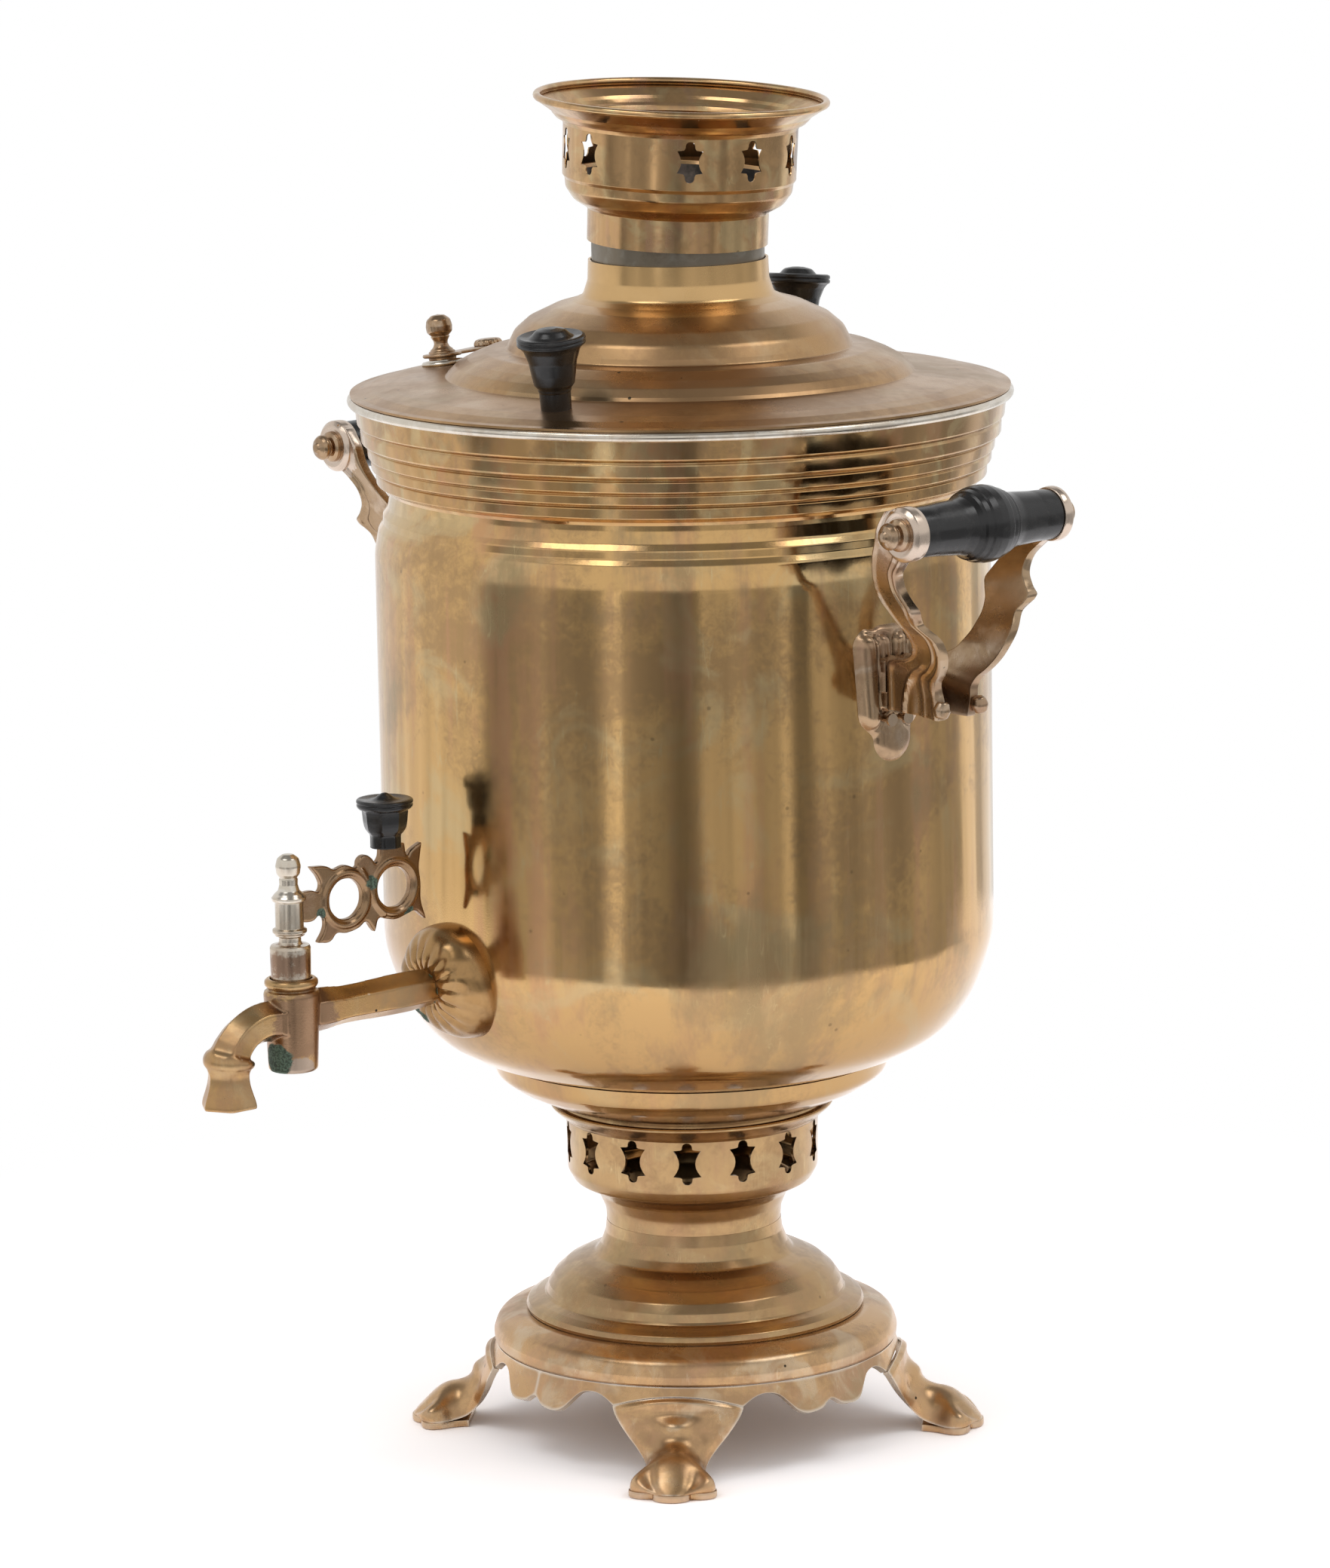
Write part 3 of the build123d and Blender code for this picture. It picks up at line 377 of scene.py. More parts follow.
def sootAndShadeInside(tree, height, middle, lean, rings):
    # soot and painted shade: one inside each (radius, lowest height, highest height) round a leaning axis
    place = onObject(tree)
    away = addNode(tree, "ShaderNodeVectorMath", {0: place, 1: (0, 0, middle * mm)}, operation="SUBTRACT").outputs[0]
    side = addNode(tree, "ShaderNodeVectorMath", {0: away, 1: lean}, operation="CROSS_PRODUCT").outputs[0]
    radius = addNode(tree, "ShaderNodeVectorMath", {0: side}, operation="LENGTH").outputs["Value"]
    total = None
    for reach, low, high in rings:
        inside = ramp(tree, radius, (reach - 0.08) * mm, (reach + 0.08) * mm, 1.0, 0.0)
        between = math(tree, "MULTIPLY", ramp(tree, height, (low - 0.3) * mm, (low + 0.3) * mm),
                       ramp(tree, height, (high - 2) * mm, (high + 2) * mm, 1.0, 0.0))
        sootAndShade = math(tree, "MULTIPLY", inside, between)
        total = sootAndShade if total is None else math(tree, "MAXIMUM", total, sootAndShade)
    return total


def agedMetal(name, look):
    material, tree = newMaterial(name)
    patches = stretchedNoise(tree, look["patch"], detail=6.0, roughness=0.62, distortion=0.5)
    blotches = stretchedNoise(tree, look["patch"] * 2.3, detail=5.0, distortion=0.9, shift=(3.1, 1.7, 5.2))
    clouds = stretchedNoise(tree, look["patch"] * 0.8, detail=6.0, roughness=0.65, distortion=0.3, shift=(7, 2, 4))
    streaks = stretchedNoise(tree, 1.0, stretch=look["streak"], detail=5.0, roughness=0.65)
    grains = stretchedNoise(tree, 1400.0, detail=2.0)
    smears = stretchedNoise(tree, 260.0, detail=4.0, roughness=0.7, distortion=0.5)
    mottle = weightedSum(tree, smears, 0.25, patches, 0.75)
    colour = blendColour(tree, share(tree, mottle, 0.46, 0.60, look["brownShare"]), look["gold"], look["brown"])
    runs = weightedSum(tree, streaks, 0.6, clouds, 0.4)
    colour = blendColour(tree, share(tree, runs, 0.50, 0.60, look["rosyShare"]), colour, look["rosy"])
    colour = blendColour(tree, share(tree, blotches, 0.50, 0.66, look["paleShare"]), colour, look["pale"])
    dull = weightedSum(tree, clouds, 0.7, streaks, 0.3)
    tarnish = share(tree, dull, 0.53, 0.64, look["oliveShare"])
    colour = blendColour(tree, tarnish, colour, look["olive"])
    lines = math(tree, "ADD", scratchLines(tree, (0.5, 0.3, 0.2), 260.0, 0.006),
                 scratchLines(tree, (-0.9, 0.8, 0.4), 300.0, 0.005), clamp=True)
    lines = math(tree, "MULTIPLY", lines, share(tree, blotches, 0.42, 0.62, look["scratches"]))
    colour = blendColour(tree, lines, colour, look["pale"])
    height = addNode(tree, "ShaderNodeSeparateXYZ", {0: onObject(tree)}).outputs[2]
    if "brownerBelow" in look:
        low, high, most = look["brownerBelow"]
        browner = ramp(tree, height, low * mm, high * mm, most, 0.0)
        colour = blendColour(tree, browner, colour, look["brown"])
    polished = None
    if "polishedAbove" in look:
        low, high = look["polishedAbove"]
        polished = ramp(tree, height, low * mm, high * mm)
        bright = math(tree, "MULTIPLY", polished, look["polishedShare"])
        colour = blendColour(tree, bright, colour, look["polished"])
    for spots, spotColour in look.get("spots", []):
        bare = spotsOf(tree, spots, math(tree, "ADD", smears, 0.25))
        colour = blendColour(tree, bare, colour, spotColour)
    # the crown's inside and its ledge darkened: soot and painted shade seen through the holes
    if "sootAndShadeInside" in look:
        sootAndShade = sootAndShadeInside(tree, height, *look["sootAndShadeInside"])
        colour = blendColour(tree, sootAndShade, colour, stains["soot"])
    pits = math(tree, "MULTIPLY", smallPits(tree, 150.0, 0.13), look["pits"])
    colour = blendColour(tree, pits, colour, stains["grimeAndCreaseShade"])
    bends = addNode(tree, "ShaderNodeNewGeometry").outputs["Pointiness"]
    wear = share(tree, bends, 0.52, 0.60, look["wear"])
    colour = blendColour(tree, wear, colour, look.get("worn", look["pale"]))
    # darker in concave places: grime and painted shade in the creases
    grimeAndCreaseShade = share(tree, math(tree, "SUBTRACT", 1.0, bends), 0.51, 0.58, look["grimeAndCreaseShade"])
    grimeAndCreaseShade = math(tree, "MULTIPLY", grimeAndCreaseShade, ramp(tree, smears, 0.3, 0.6, 0.4, 1.0))
    colour = blendColour(tree, grimeAndCreaseShade, colour, stains["grimeAndCreaseShade"])
    worn = weightedSum(tree, streaks, 0.5, mottle, 0.5)
    roughness = ramp(tree, worn, 0.38, 0.64, *look["roughness"])
    if polished:
        gloss = math(tree, "MULTIPLY", polished, look["polishedGloss"])
        roughness = math(tree, "MULTIPLY", roughness, math(tree, "SUBTRACT", 1.0, gloss))
    dirt = math(tree, "ADD", grimeAndCreaseShade, math(tree, "MULTIPLY", tarnish, 0.35))
    verdigris = None
    if "green" in look:
        verdigris = spotsOf(tree, look["green"], smears)
        greens = blendColour(tree, ramp(tree, grains, 0.4, 0.6), *stains["verdigris"])
        colour = blendColour(tree, verdigris, colour, greens)
        dirt = math(tree, "ADD", dirt, math(tree, "MULTIPLY", verdigris, 2.0))
    roughness = math(tree, "ADD", roughness, math(tree, "MULTIPLY", dirt, 0.25), clamp=True)
    waves = math(tree, "ADD", math(tree, "MULTIPLY", grains, 0.25), blotches)
    waves = math(tree, "SUBTRACT", waves, math(tree, "MULTIPLY", pits, 0.6))
    dents = stretchedNoise(tree, 17.0, stretch=(1, 1, 0.55), detail=1.0, shift=(2, 9, 1))
    bump = addNode(tree, "ShaderNodeBump", {"Height": dents, "Strength": look["waves"], "Distance": 1.6 * mm})
    bump = addNode(tree, "ShaderNodeBump", {"Height": waves, "Strength": look["bump"], "Distance": 0.4 * mm,
                                            "Normal": bump.outputs[0]})
    shader = addNode(tree, "ShaderNodeBsdfPrincipled", {"Base Color": colour, "Metallic": 1.0,
                                                        "Roughness": roughness, "Normal": bump.outputs[0]})
    if verdigris:
        tree.links.new(math(tree, "SUBTRACT", 1.0, verdigris), shader.inputs["Metallic"])
    endMaterial(tree, shader)
    return material


bakeliteLook = {"black": (0.006, 0.0055, 0.0055), "dust": (0.060, 0.054, 0.050), "roughness": (0.17, 0.38)}


def wornBakelite(name, look):
    material, tree = newMaterial(name)
    smears = stretchedNoise(tree, 90.0, detail=5.0, distortion=0.7)
    specks = stretchedNoise(tree, 900.0, detail=3.0, roughness=0.7)
    creases = addNode(tree, "ShaderNodeNewGeometry").outputs["Pointiness"]
    inCreases = ramp(tree, creases, 0.43, 0.49, 0.35, 0.0)
    dusty = math(tree, "MULTIPLY", ramp(tree, smears, 0.48, 0.75), ramp(tree, specks, 0.42, 0.62, 0.1, 0.8))
    dusty = math(tree, "ADD", math(tree, "MULTIPLY", dusty, 0.5), inCreases, clamp=True)
    colour = blendColour(tree, dusty, look["black"], look["dust"])
    roughness = ramp(tree, smears, 0.35, 0.7, *look["roughness"])
    bump = addNode(tree, "ShaderNodeBump", {"Height": specks, "Strength": 0.05, "Distance": 0.2 * mm})
    shader = addNode(tree, "ShaderNodeBsdfPrincipled", {"Base Color": colour, "Roughness": roughness,
                                                        "IOR": 1.5, "Normal": bump.outputs[0]})
    endMaterial(tree, shader)
    return material


ironLook = {"soot": (0.03, 0.028, 0.026), "ash": (0.16, 0.13, 0.11), "roughness": 0.85, "metallic": 0.4}


def sootyIron(name, look):
    material, tree = newMaterial(name)
    soot = stretchedNoise(tree, 120.0, detail=6.0, roughness=0.7)
    colour = blendColour(tree, ramp(tree, soot, 0.35, 0.7), look["soot"], look["ash"])
    bump = addNode(tree, "ShaderNodeBump", {"Height": soot, "Strength": 0.4, "Distance": 0.5 * mm})
    shader = addNode(tree, "ShaderNodeBsdfPrincipled", {"Base Color": colour, "Roughness": look["roughness"],
                                                        "Metallic": look["metallic"], "Normal": bump.outputs[0]})
    endMaterial(tree, shader)
    return material


agedBrass = agedMetal("agedBrass", brassLook)
bandBrass = agedMetal("bandBrass", brassLook | {"gold": (0.520, 0.315, 0.135), "patch": 22.0, "brownShare": 0.9})
neckBrass = agedMetal("neckBrass", brassLook | {
    "gold": (0.450, 0.290, 0.140), "brown": (0.320, 0.200, 0.100), "rosy": (0.420, 0.245, 0.135), "patch": 26.0,
    "roughness": (0.17, 0.28), "waves": 0.2, "brownShare": 0.9, "oliveShare": 0.5, "paleShare": 0.25,
    "streak": (40, 40, 8), "brownerBelow": (60.0, 70.0, 0.2)})
crownBrass = agedMetal("crownBrass", brassLook | {
    "gold": (0.540, 0.335, 0.160), "rosy": (0.520, 0.300, 0.190), "patch": 30.0, "brownShare": 0.8, "rosyShare": 0.8,
    "roughness": (0.12, 0.30), "waves": 0.15,
    "spots": [([(30, 31, 492, 9), (33, 29, 481, 7), (25, 32, 465, 6)], (0.20, 0.11, 0.06))],
    # soot and painted shade inside the crown's pierced band and on its ledge
    "sootAndShadeInside": (453.0, (0.0563, 0.0120, 0.9983), [(42.55, 476.6, 494.0), (31.9, 459.0, 470.0)])})
castBrass = agedMetal("castBrass", castBrassLook | {"wear": 0.8, "worn": (0.700, 0.620, 0.520)})
lidBrass = agedMetal("satinLidBrass", lidLook)
copperBrass = agedMetal("copperBrass", copperLook)
bracketBrass = agedMetal("bracketBrass", copperLook | {
    "wear": 0.6, "worn": (0.640, 0.530, 0.430), "gold": (0.370, 0.260, 0.160), "rosy": (0.370, 0.235, 0.160),
    "spots": [([(side * 164.6, end * 37.0, 361.6, 17) for side in (1, -1) for end in (1, -1)], (0.60, 0.49, 0.40))]})
ventBrass = agedMetal("ventBrass", copperLook | {
    "patch": 70.0, "bump": 0.03, "waves": 0.05, "pits": 0.3, "scratches": 0.2, "wear": 0.2})
rosetteBrass = agedMetal("rosetteBrass", copperLook | {
    "gold": (0.380, 0.225, 0.095), "rosy": (0.360, 0.195, 0.095), "brown": (0.210, 0.125, 0.060),
    "pale": (0.460, 0.300, 0.150), "patch": 26.0, "roughness": (0.20, 0.34), "waves": 1.0,
    "green": [(0, -124, 187.6, 9.5), (-9, -119, 176, 6)]})
keyBrass = agedMetal("keyBrass", copperLook | {
    "gold": (0.300, 0.190, 0.105), "rosy": (0.300, 0.180, 0.110), "brown": (0.200, 0.125, 0.070),
    "pale": (0.420, 0.300, 0.200), "wear": 0.45, "worn": (0.500, 0.370, 0.260),
    "green": [(0, -149.5, 230, 5.0), (0, -172, 222, 4.0), (0, -133, 218, 4)]})
tapBrass = agedMetal("tapBrass", castBrassLook | {
    "gold": (0.470, 0.290, 0.125), "rosy": (0.430, 0.240, 0.125), "pale": (0.520, 0.370, 0.200),
    "wear": 0.7, "worn": (0.680, 0.590, 0.480), "green": [(2, -193.5, 172, 9), (0, -122, 187.6, 8)],
    "spots": [([(0, -184, 184, 20)], (0.300, 0.185, 0.110)), ([(7, -187, 168, 7)], (0.400, 0.310, 0.240))]})
plugTin = agedMetal("plugTin", tinLook | {"spots": [([(0, -185, 206, 10.5)], (0.290, 0.190, 0.130))]})
wornTin = agedMetal("wornTin", tinLook)
greyTube = agedMetal("greyTube", greyTubeLook)
bakelite = wornBakelite("blackBakelite", bakeliteLook)
iron = sootyIron("sootyIron", ironLook)
print("finishes ready")


# making meshes

def roundedOutline(corners, steps=5):
    # each corner is (radius, height, rounding); a rounded corner becomes a short curve
    outline = [Vector(corners[0][:2])]
    for before, corner, after in zip(corners, corners[1:], corners[2:]):
        here = Vector(corner[:2])
        toBefore = Vector(before[:2]) - here
        toAfter = Vector(after[:2]) - here
        rounding = corner[2] if len(corner) > 2 else 0
        if rounding == 0:
            outline.append(here)
            continue
        reach = rounding / tan(max(toBefore.angle(toAfter) / 2, 0.05))
        start = here + toBefore.normalized() * min(reach, toBefore.length * 0.49)
        end = here + toAfter.normalized() * min(reach, toAfter.length * 0.49)
        for step in range(steps + 1):
            share = step / steps
            outline.append(start * (1 - share) ** 2 + here * (2 * share * (1 - share)) + end * share ** 2)
    outline.append(Vector(corners[-1][:2]))
    return outline


def applyModifiers(piece):
    pickOnly(piece)
    for modifier in list(piece.modifiers):
        bpy.ops.object.modifier_apply(modifier=modifier.name)


def addModifier(piece, kind, **settings):
    modifier = piece.modifiers.new(kind.title(), kind)
    for setting, value in settings.items():
        setattr(modifier, setting, value)


def smooth(piece, angle=32.0):
    pickOnly(piece)
    bpy.ops.object.shade_smooth_by_angle(angle=radians(angle))


def giveWall(piece, wall, even=False):
    addModifier(piece, "SOLIDIFY", thickness=wall * mm, offset=-1, use_even_offset=even)
    applyModifiers(piece)


def closeUp(piece, gap=0.02):
    pickOnly(piece)
    bpy.ops.object.mode_set(mode="EDIT")
    bpy.ops.mesh.select_all(action="SELECT")
    bpy.ops.mesh.remove_doubles(threshold=gap * mm)
    bpy.ops.mesh.normals_make_consistent(inside=False)
    bpy.ops.object.mode_set(mode="OBJECT")
    return piece


def flipFaces(piece):
    pickOnly(piece)
    bpy.ops.object.mode_set(mode="EDIT")
    bpy.ops.mesh.select_all(action="SELECT")
    bpy.ops.mesh.flip_normals()
    bpy.ops.object.mode_set(mode="OBJECT")


def fuse(piece, cell, rounds):
    # overlapping solids become one skin of even cells with softened corners
    addModifier(piece, "REMESH", mode="VOXEL", voxel_size=cell * mm, adaptivity=0.0)
    addModifier(piece, "SMOOTH", factor=0.5, iterations=rounds)
    applyModifiers(piece)
    smooth(piece, 60)


def spinPiece(name, corners, wall=0.0, closed=False, steps=160):
    outline = roundedOutline(corners)
    if closed:
        outline.append(outline[0])
    deselectAll()
    bpy.ops.mesh.primitive_plane_add(size=mm)
    piece = bpy.context.object
    piece.name = name
    bpy.ops.object.mode_set(mode="EDIT")
    bpy.ops.mesh.merge(type="CENTER")
    bpy.ops.transform.translate(value=(outline[0].x * mm, 0, outline[0].y * mm))
    for here, there in zip(outline, outline[1:]):
        step = (there - here) * mm
        bpy.ops.mesh.extrude_region_move(TRANSFORM_OT_translate={"value": (step.x, 0, step.y)})
    bpy.ops.mesh.select_all(action="SELECT")
    bpy.ops.mesh.spin(steps=steps, angle=2 * pi, center=(0, 0, 0), axis=(0, 0, 1))
    bpy.ops.object.mode_set(mode="OBJECT")
    closeUp(piece, 0.002)
    if wall:
        giveWall(piece, wall, even=True)
    smooth(piece)
    return piece


def movePiece(piece, place):
    # place is a matrix in millimetres; the place goes into the mesh
    moved = place.copy()
    moved.translation = place.translation * mm
    piece.data.transform(moved)


def finishPiece(piece, body, material, slot, *nodes):
    piece.data.materials.clear()
    piece.data.materials.append(material)
    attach(piece, body)
    if nodes:
        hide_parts(*nodes)


def joinPieces(first, *others):
    pickOnly(first)
    for piece in others:
        piece.select_set(True)
    bpy.ops.object.join()
    return first


def ringBead(radius, section, height, steps=200):
    deselectAll()
    bpy.ops.mesh.primitive_torus_add(major_radius=radius * mm, minor_radius=section * mm, major_segments=steps,
                                     minor_segments=14)
    bead = bpy.context.object
    movePiece(bead, Matrix.Translation((0, 0, height)))
    return bead


def flatSolid(spots, x, y, z):
    # the flat face between the spots, made solid by a step
    deselectAll()
    bpy.ops.mesh.primitive_circle_add(vertices=len(spots), radius=mm, fill_type="NGON")
    piece = bpy.context.object
    for vertex, spot in zip(piece.data.vertices, spots):
        vertex.co = Vector(spot) * mm
    bpy.ops.object.mode_set(mode="EDIT")
    bpy.ops.mesh.select_all(action="SELECT")
    bpy.ops.mesh.extrude_region_move(TRANSFORM_OT_translate={"value": (x * mm, y * mm, z * mm)})
    bpy.ops.mesh.select_all(action="SELECT")
    bpy.ops.mesh.normals_make_consistent(inside=False)
    bpy.ops.object.mode_set(mode="OBJECT")
    return piece


def headingPlace(heading, radius=0.0, height=0.0):
    return Matrix.Rotation(radians(heading - 90), 4, "Z") @ Matrix.Translation((radius, 0, height))


# vessel, rim band, lower bowl and fire tube

vessel = {
    "corners": [(74.0, 145.2), (84.0, 148.6, 10), (97.0, 156.0, 30), (107.5, 170.0, 60), (114.1, 190.0, 40),
                (114.1, 337.0, 25), (112.6, 345.5, 4), (111.0, 348.0, 1.4), (110.8, 351.0, 1.4), (109.0, 353.5, 3),
                (108.3, 358.0, 6), (108.3, 366.0)],
    "wall": 1.2,
}
rimBand = {
    "corners": [(109.6, 360.0), (110.4, 361.3, 0.6), (112.9, 362.8, 0.8), (113.1, 366.4, 0.8), (112.5, 367.1, 0.2),
                (114.6, 368.0, 0.8), (114.8, 371.0, 0.8), (114.3, 371.7, 0.2), (115.8, 372.6, 0.8),
                (116.2, 376.2, 0.9), (115.6, 376.9, 0.2), (118.3, 378.2, 1.2), (118.5, 382.6, 1.2),
                (117.9, 383.5, 0.3), (119.6, 384.8, 1.0), (120.3, 391.4)],
    "wall": 1.1,
}
lowerBowl = {
    "corners": [(49.0, 127.0), (51.6, 127.6, 2), (58.6, 130.5, 10), (67.2, 134.5, 14), (73.6, 139.0, 6),
                (74.9, 145.2)],
    "wall": 1.2,
}
fireTube = {
    "corners": [(38.5, 124.6), (38.5, 165.2), (31.9, 340.0), (31.9, 459.0), (30.4, 459.0), (30.4, 340.0),
                (37.0, 165.2), (37.0, 124.6)],
}


def makeVessel():
    wall = spinPiece("vesselWall", vessel["corners"], wall=vessel["wall"], steps=200)
    finishPiece(wall, "vessel", agedBrass, "polished_brass", "vessel_wall")
    band = spinPiece("rimBand", rimBand["corners"], wall=rimBand["wall"], steps=200)
    finishPiece(band, "vessel", bandBrass, "polished_brass", "rim_band")
    bowl = spinPiece("lowerBowl", lowerBowl["corners"], wall=lowerBowl["wall"])
    finishPiece(bowl, "vessel", agedBrass, "polished_brass", "lower_bowl")
    tube = spinPiece("fireTube", fireTube["corners"], closed=True)
    finishPiece(tube, "vessel", greyTube, "tinned_tube", "fire_jug")


makeVessel()
print("vessel ready")


# lid and its bead

lid = {
    "corners": [(122.0, 395.9), (119.0, 396.2, 1.5), (114.5, 397.8, 4), (108.0, 399.0, 6), (86.6, 401.2, 0.6),
                (85.6, 402.6, 0.6), (82.7, 405.4, 4), (78.3, 407.8, 4), (72.0, 410.4, 6), (64.0, 411.0, 1.2),
                (63.0, 413.4, 1.0), (60.8, 417.8, 6), (55.6, 422.3, 6), (46.0, 426.8, 8), (39.4, 428.6, 1.6),
                (35.4, 430.4, 3), (33.5, 436.0, 5), (33.2, 443.5)],
    "wall": 0.9,
}
lidBead = {"radius": 121.35, "section": 1.75, "height": 393.2}


def makeLid():
    sheet = spinPiece("lidSheet", lid["corners"], wall=lid["wall"], steps=200)
    finishPiece(sheet, "lid", lidBrass, "satin_brass", "lid_sheet")
    bead = ringBead(**lidBead)
    bead.name = "lidBead"
    smooth(bead, 60)
    finishPiece(bead, "lid", wornTin, "tinned_trim", "lid_bead")


makeLid()
print("lid ready")


# footed base: one casting, an apron with a scalloped hem that runs down into four paw feet

base = {
    "top": [(54.0, 46.9), (66.5, 46.6, 4), (74.6, 43.4, 6), (76.3, 38.2, 4), (76.0, 35.2, 0.8), (75.3, 34.3)],
    "apronTop": (75.5, 34.2), "apronFlare": 0.26, "apronCurve": 0.006,
    "hem": [(0.0, 25.3), (1.4, 24.7), (3.2, 22.9), (5.8, 22.1), (8.6, 22.0), (11.2, 23.4), (13.6, 26.6),
            (16.0, 29.6), (18.4, 30.7), (21.4, 30.7), (24.2, 29.3), (27.0, 26.8)],
    "footHalfAngle": 18.0, "footHeadings": (45, 135, 225, 315), "wall": 2.6,
}
foot = {
    # share of the way down, centre (radius, height), half width, edge (radius, height), roundness
    "stations": [
        (0.00, 77.9, 31.0, 24.3, 74.4, 26.8, 0.0), (0.08, 79.4, 29.2, 23.6, 75.6, 24.6, 0.1),
        (0.20, 80.8, 26.2, 21.6, 77.2, 21.2, 0.2), (0.32, 82.7, 22.4, 18.4, 78.8, 16.8, 0.4),
        (0.44, 85.0, 18.9, 14.6, 80.7, 12.2, 0.7), (0.54, 87.9, 16.5, 11.6, 83.0, 7.8, 0.95),
        (0.62, 91.3, 15.3, 10.9, 86.6, 4.4, 1.0), (0.70, 94.6, 14.6, 12.4, 91.4, 2.9, 1.0),
        (0.78, 98.0, 13.0, 14.8, 95.4, 2.5, 1.0), (0.85, 101.4, 10.2, 15.8, 98.8, 2.4, 1.0),
        (0.91, 104.3, 7.2, 14.8, 101.8, 2.4, 1.0), (0.96, 106.9, 4.5, 11.4, 103.8, 2.4, 1.0),
        (1.00, 108.6, 2.4, 6.8, 103.9, 2.4, 1.0)],
    "rows": 52, "columns": 36, "wall": 2.4,
    # raised crescent, dish below it, knee, hollows beside the knee, toe valleys, toe bulges
    "relief": [(0.07, 0.00, 0.036, 0.85, 0.7), (0.21, 0.00, 0.070, 0.55, -1.1), (0.37, 0.00, 0.090, 0.24, 1.5),
               (0.40, 0.52, 0.100, 0.17, -1.3), (0.89, 0.36, 0.080, 0.11, -1.1), (0.86, 0.66, 0.070, 0.17, 1.0)],
    "reliefFade": (0.03, 0.10),     # shares down and across over which the relief starts at the edges
    "sole": {"height": 2.6, "from": 36, "of": 60, "toe": 16, "further": 0.35, "wider": 1.03},
}


def along(stations, share):
    # smooth curve through rows of numbers whose first entry is the place along it
    last = len(stations) - 1
    index = max(i for i in range(last) if stations[i][0] <= share or i == 0)
    before, start = stations[max(index - 1, 0)], stations[index]
    end, after = stations[index + 1], stations[min(index + 2, last)]
    span = end[0] - start[0]
    t = min(max((share - start[0]) / span, 0), 1)
    values = []
    for k in range(1, len(start)):
        slopeStart = (end[k] - before[k]) / (end[0] - before[0]) * span
        slopeEnd = (after[k] - start[k]) / (after[0] - start[0]) * span
        values.append((2 * t ** 3 - 3 * t ** 2 + 1) * start[k] + (t ** 3 - 2 * t ** 2 + t) * slopeStart
                      + (3 * t ** 2 - 2 * t ** 3) * end[k] + (t ** 3 - t ** 2) * slopeEnd)
    return values


def gridPiece(name, columns, rows, placeOf):
    # a flat grid whose points are moved by their share across and share down
    deselectAll()
    bpy.ops.mesh.primitive_grid_add(x_subdivisions=columns, y_subdivisions=rows, size=1)
    piece = bpy.context.object
    piece.name = name
    for vertex in piece.data.vertices:
        across, down = vertex.co.x + 0.5, vertex.co.y + 0.5
        vertex.co = placeOf(across, down) * mm
    flipFaces(piece)
    return piece


def hemHeight(heading):
    fromQuadrant = abs((heading + 45) % 90 - 45)
    fromFoot = 45 - fromQuadrant
    if fromFoot <= base["footHalfAngle"]:
        start = foot["stations"][0]
        return start[5] + (start[2] - start[5]) * (1 - (fromFoot / base["footHalfAngle"]) ** 2)
    return along(base["hem"], fromQuadrant)[0]


def apronPlace(across, down):
    heading = across * 360
    (topRadius, top), low = base["apronTop"], hemHeight(heading)
    height = top + (low - top) * down
    drop = top - height
    radius = topRadius + base["apronFlare"] * drop + base["apronCurve"] * drop * drop
    return Vector((radius * sin(radians(heading)), -radius * cos(radians(heading)), height))


def footSkin(across, down):
    v = across * 2 - 1
    centreX, centreZ, half, edgeX, edgeZ, roundness = along(foot["stations"], down)
    flat, curved = 1 - v * v, cos(pi / 2 * v)
    rise = flat + (curved - flat) * roundness
    side = v + (sin(pi / 2 * v) - v) * roundness
    return Vector((edgeX + (centreX - edgeX) * rise, half * side, edgeZ + (centreZ - edgeZ) * rise))


def footPlace(across, down):
    here = footSkin(across, down)
    step = 0.004
    fadeDown, fadeAcross = foot["reliefFade"]
    alongSkin = footSkin(across, min(down + step, 1)) - footSkin(across, max(down - step, 0))
    acrossSkin = footSkin(min(across + step, 1), down) - footSkin(max(across - step, 0), down)
    normal = alongSkin.cross(acrossSkin).normalized()
    v = abs(across * 2 - 1)
    lift = 0
    for spotDown, spotSide, reachDown, reachSide, height in foot["relief"]:
        lift += height * exp(-((down - spotDown) / reachDown) ** 2 - ((v - spotSide) / reachSide) ** 2)
    return here + normal * lift * min(1, down / fadeDown, (1 - v) / fadeAcross)


def makeFoot(heading):
    skin = gridPiece("footSkin", foot["columns"], foot["rows"], footPlace)
    giveWall(skin, foot["wall"])
    look = foot["sole"]
    rows = [row / look["of"] for row in range(look["from"], look["of"] + 1)]
    rim = [footSkin(1, row) for row in rows] + [footSkin(1 - k / look["toe"], 1) for k in range(1, look["toe"])]
    rim += [footSkin(0, row) for row in reversed(rows)]
    spots = [(spot.x + look["further"], spot.y * look["wider"], 0) for spot in rim]
    sole = flatSolid(spots, 0, 0, look["height"])
    addModifier(sole, "BEVEL", width=0.5 * mm, segments=2, limit_method="ANGLE")
    applyModifiers(sole)
    whole = joinPieces(skin, sole)
    movePiece(whole, headingPlace(heading))
    return whole


def makeBase():
    apron = gridPiece("apron", 360, 10, apronPlace)
    giveWall(apron, base["wall"])
    top = spinPiece("baseTop", base["top"][::-1], wall=base["wall"], steps=200)
    feet = [makeFoot(heading) for heading in base["footHeadings"]]
    whole = joinPieces(apron, top, *feet)
    whole.name = "footedBase"
    smooth(whole, 40)
    finishPiece(whole, "vessel", castBrass, "polished_brass", "footed_base")


makeBase()
print("footed base ready")


# handles: puffed pads on the wall, scrolled brackets with raised rims, turned grips and ball nuts

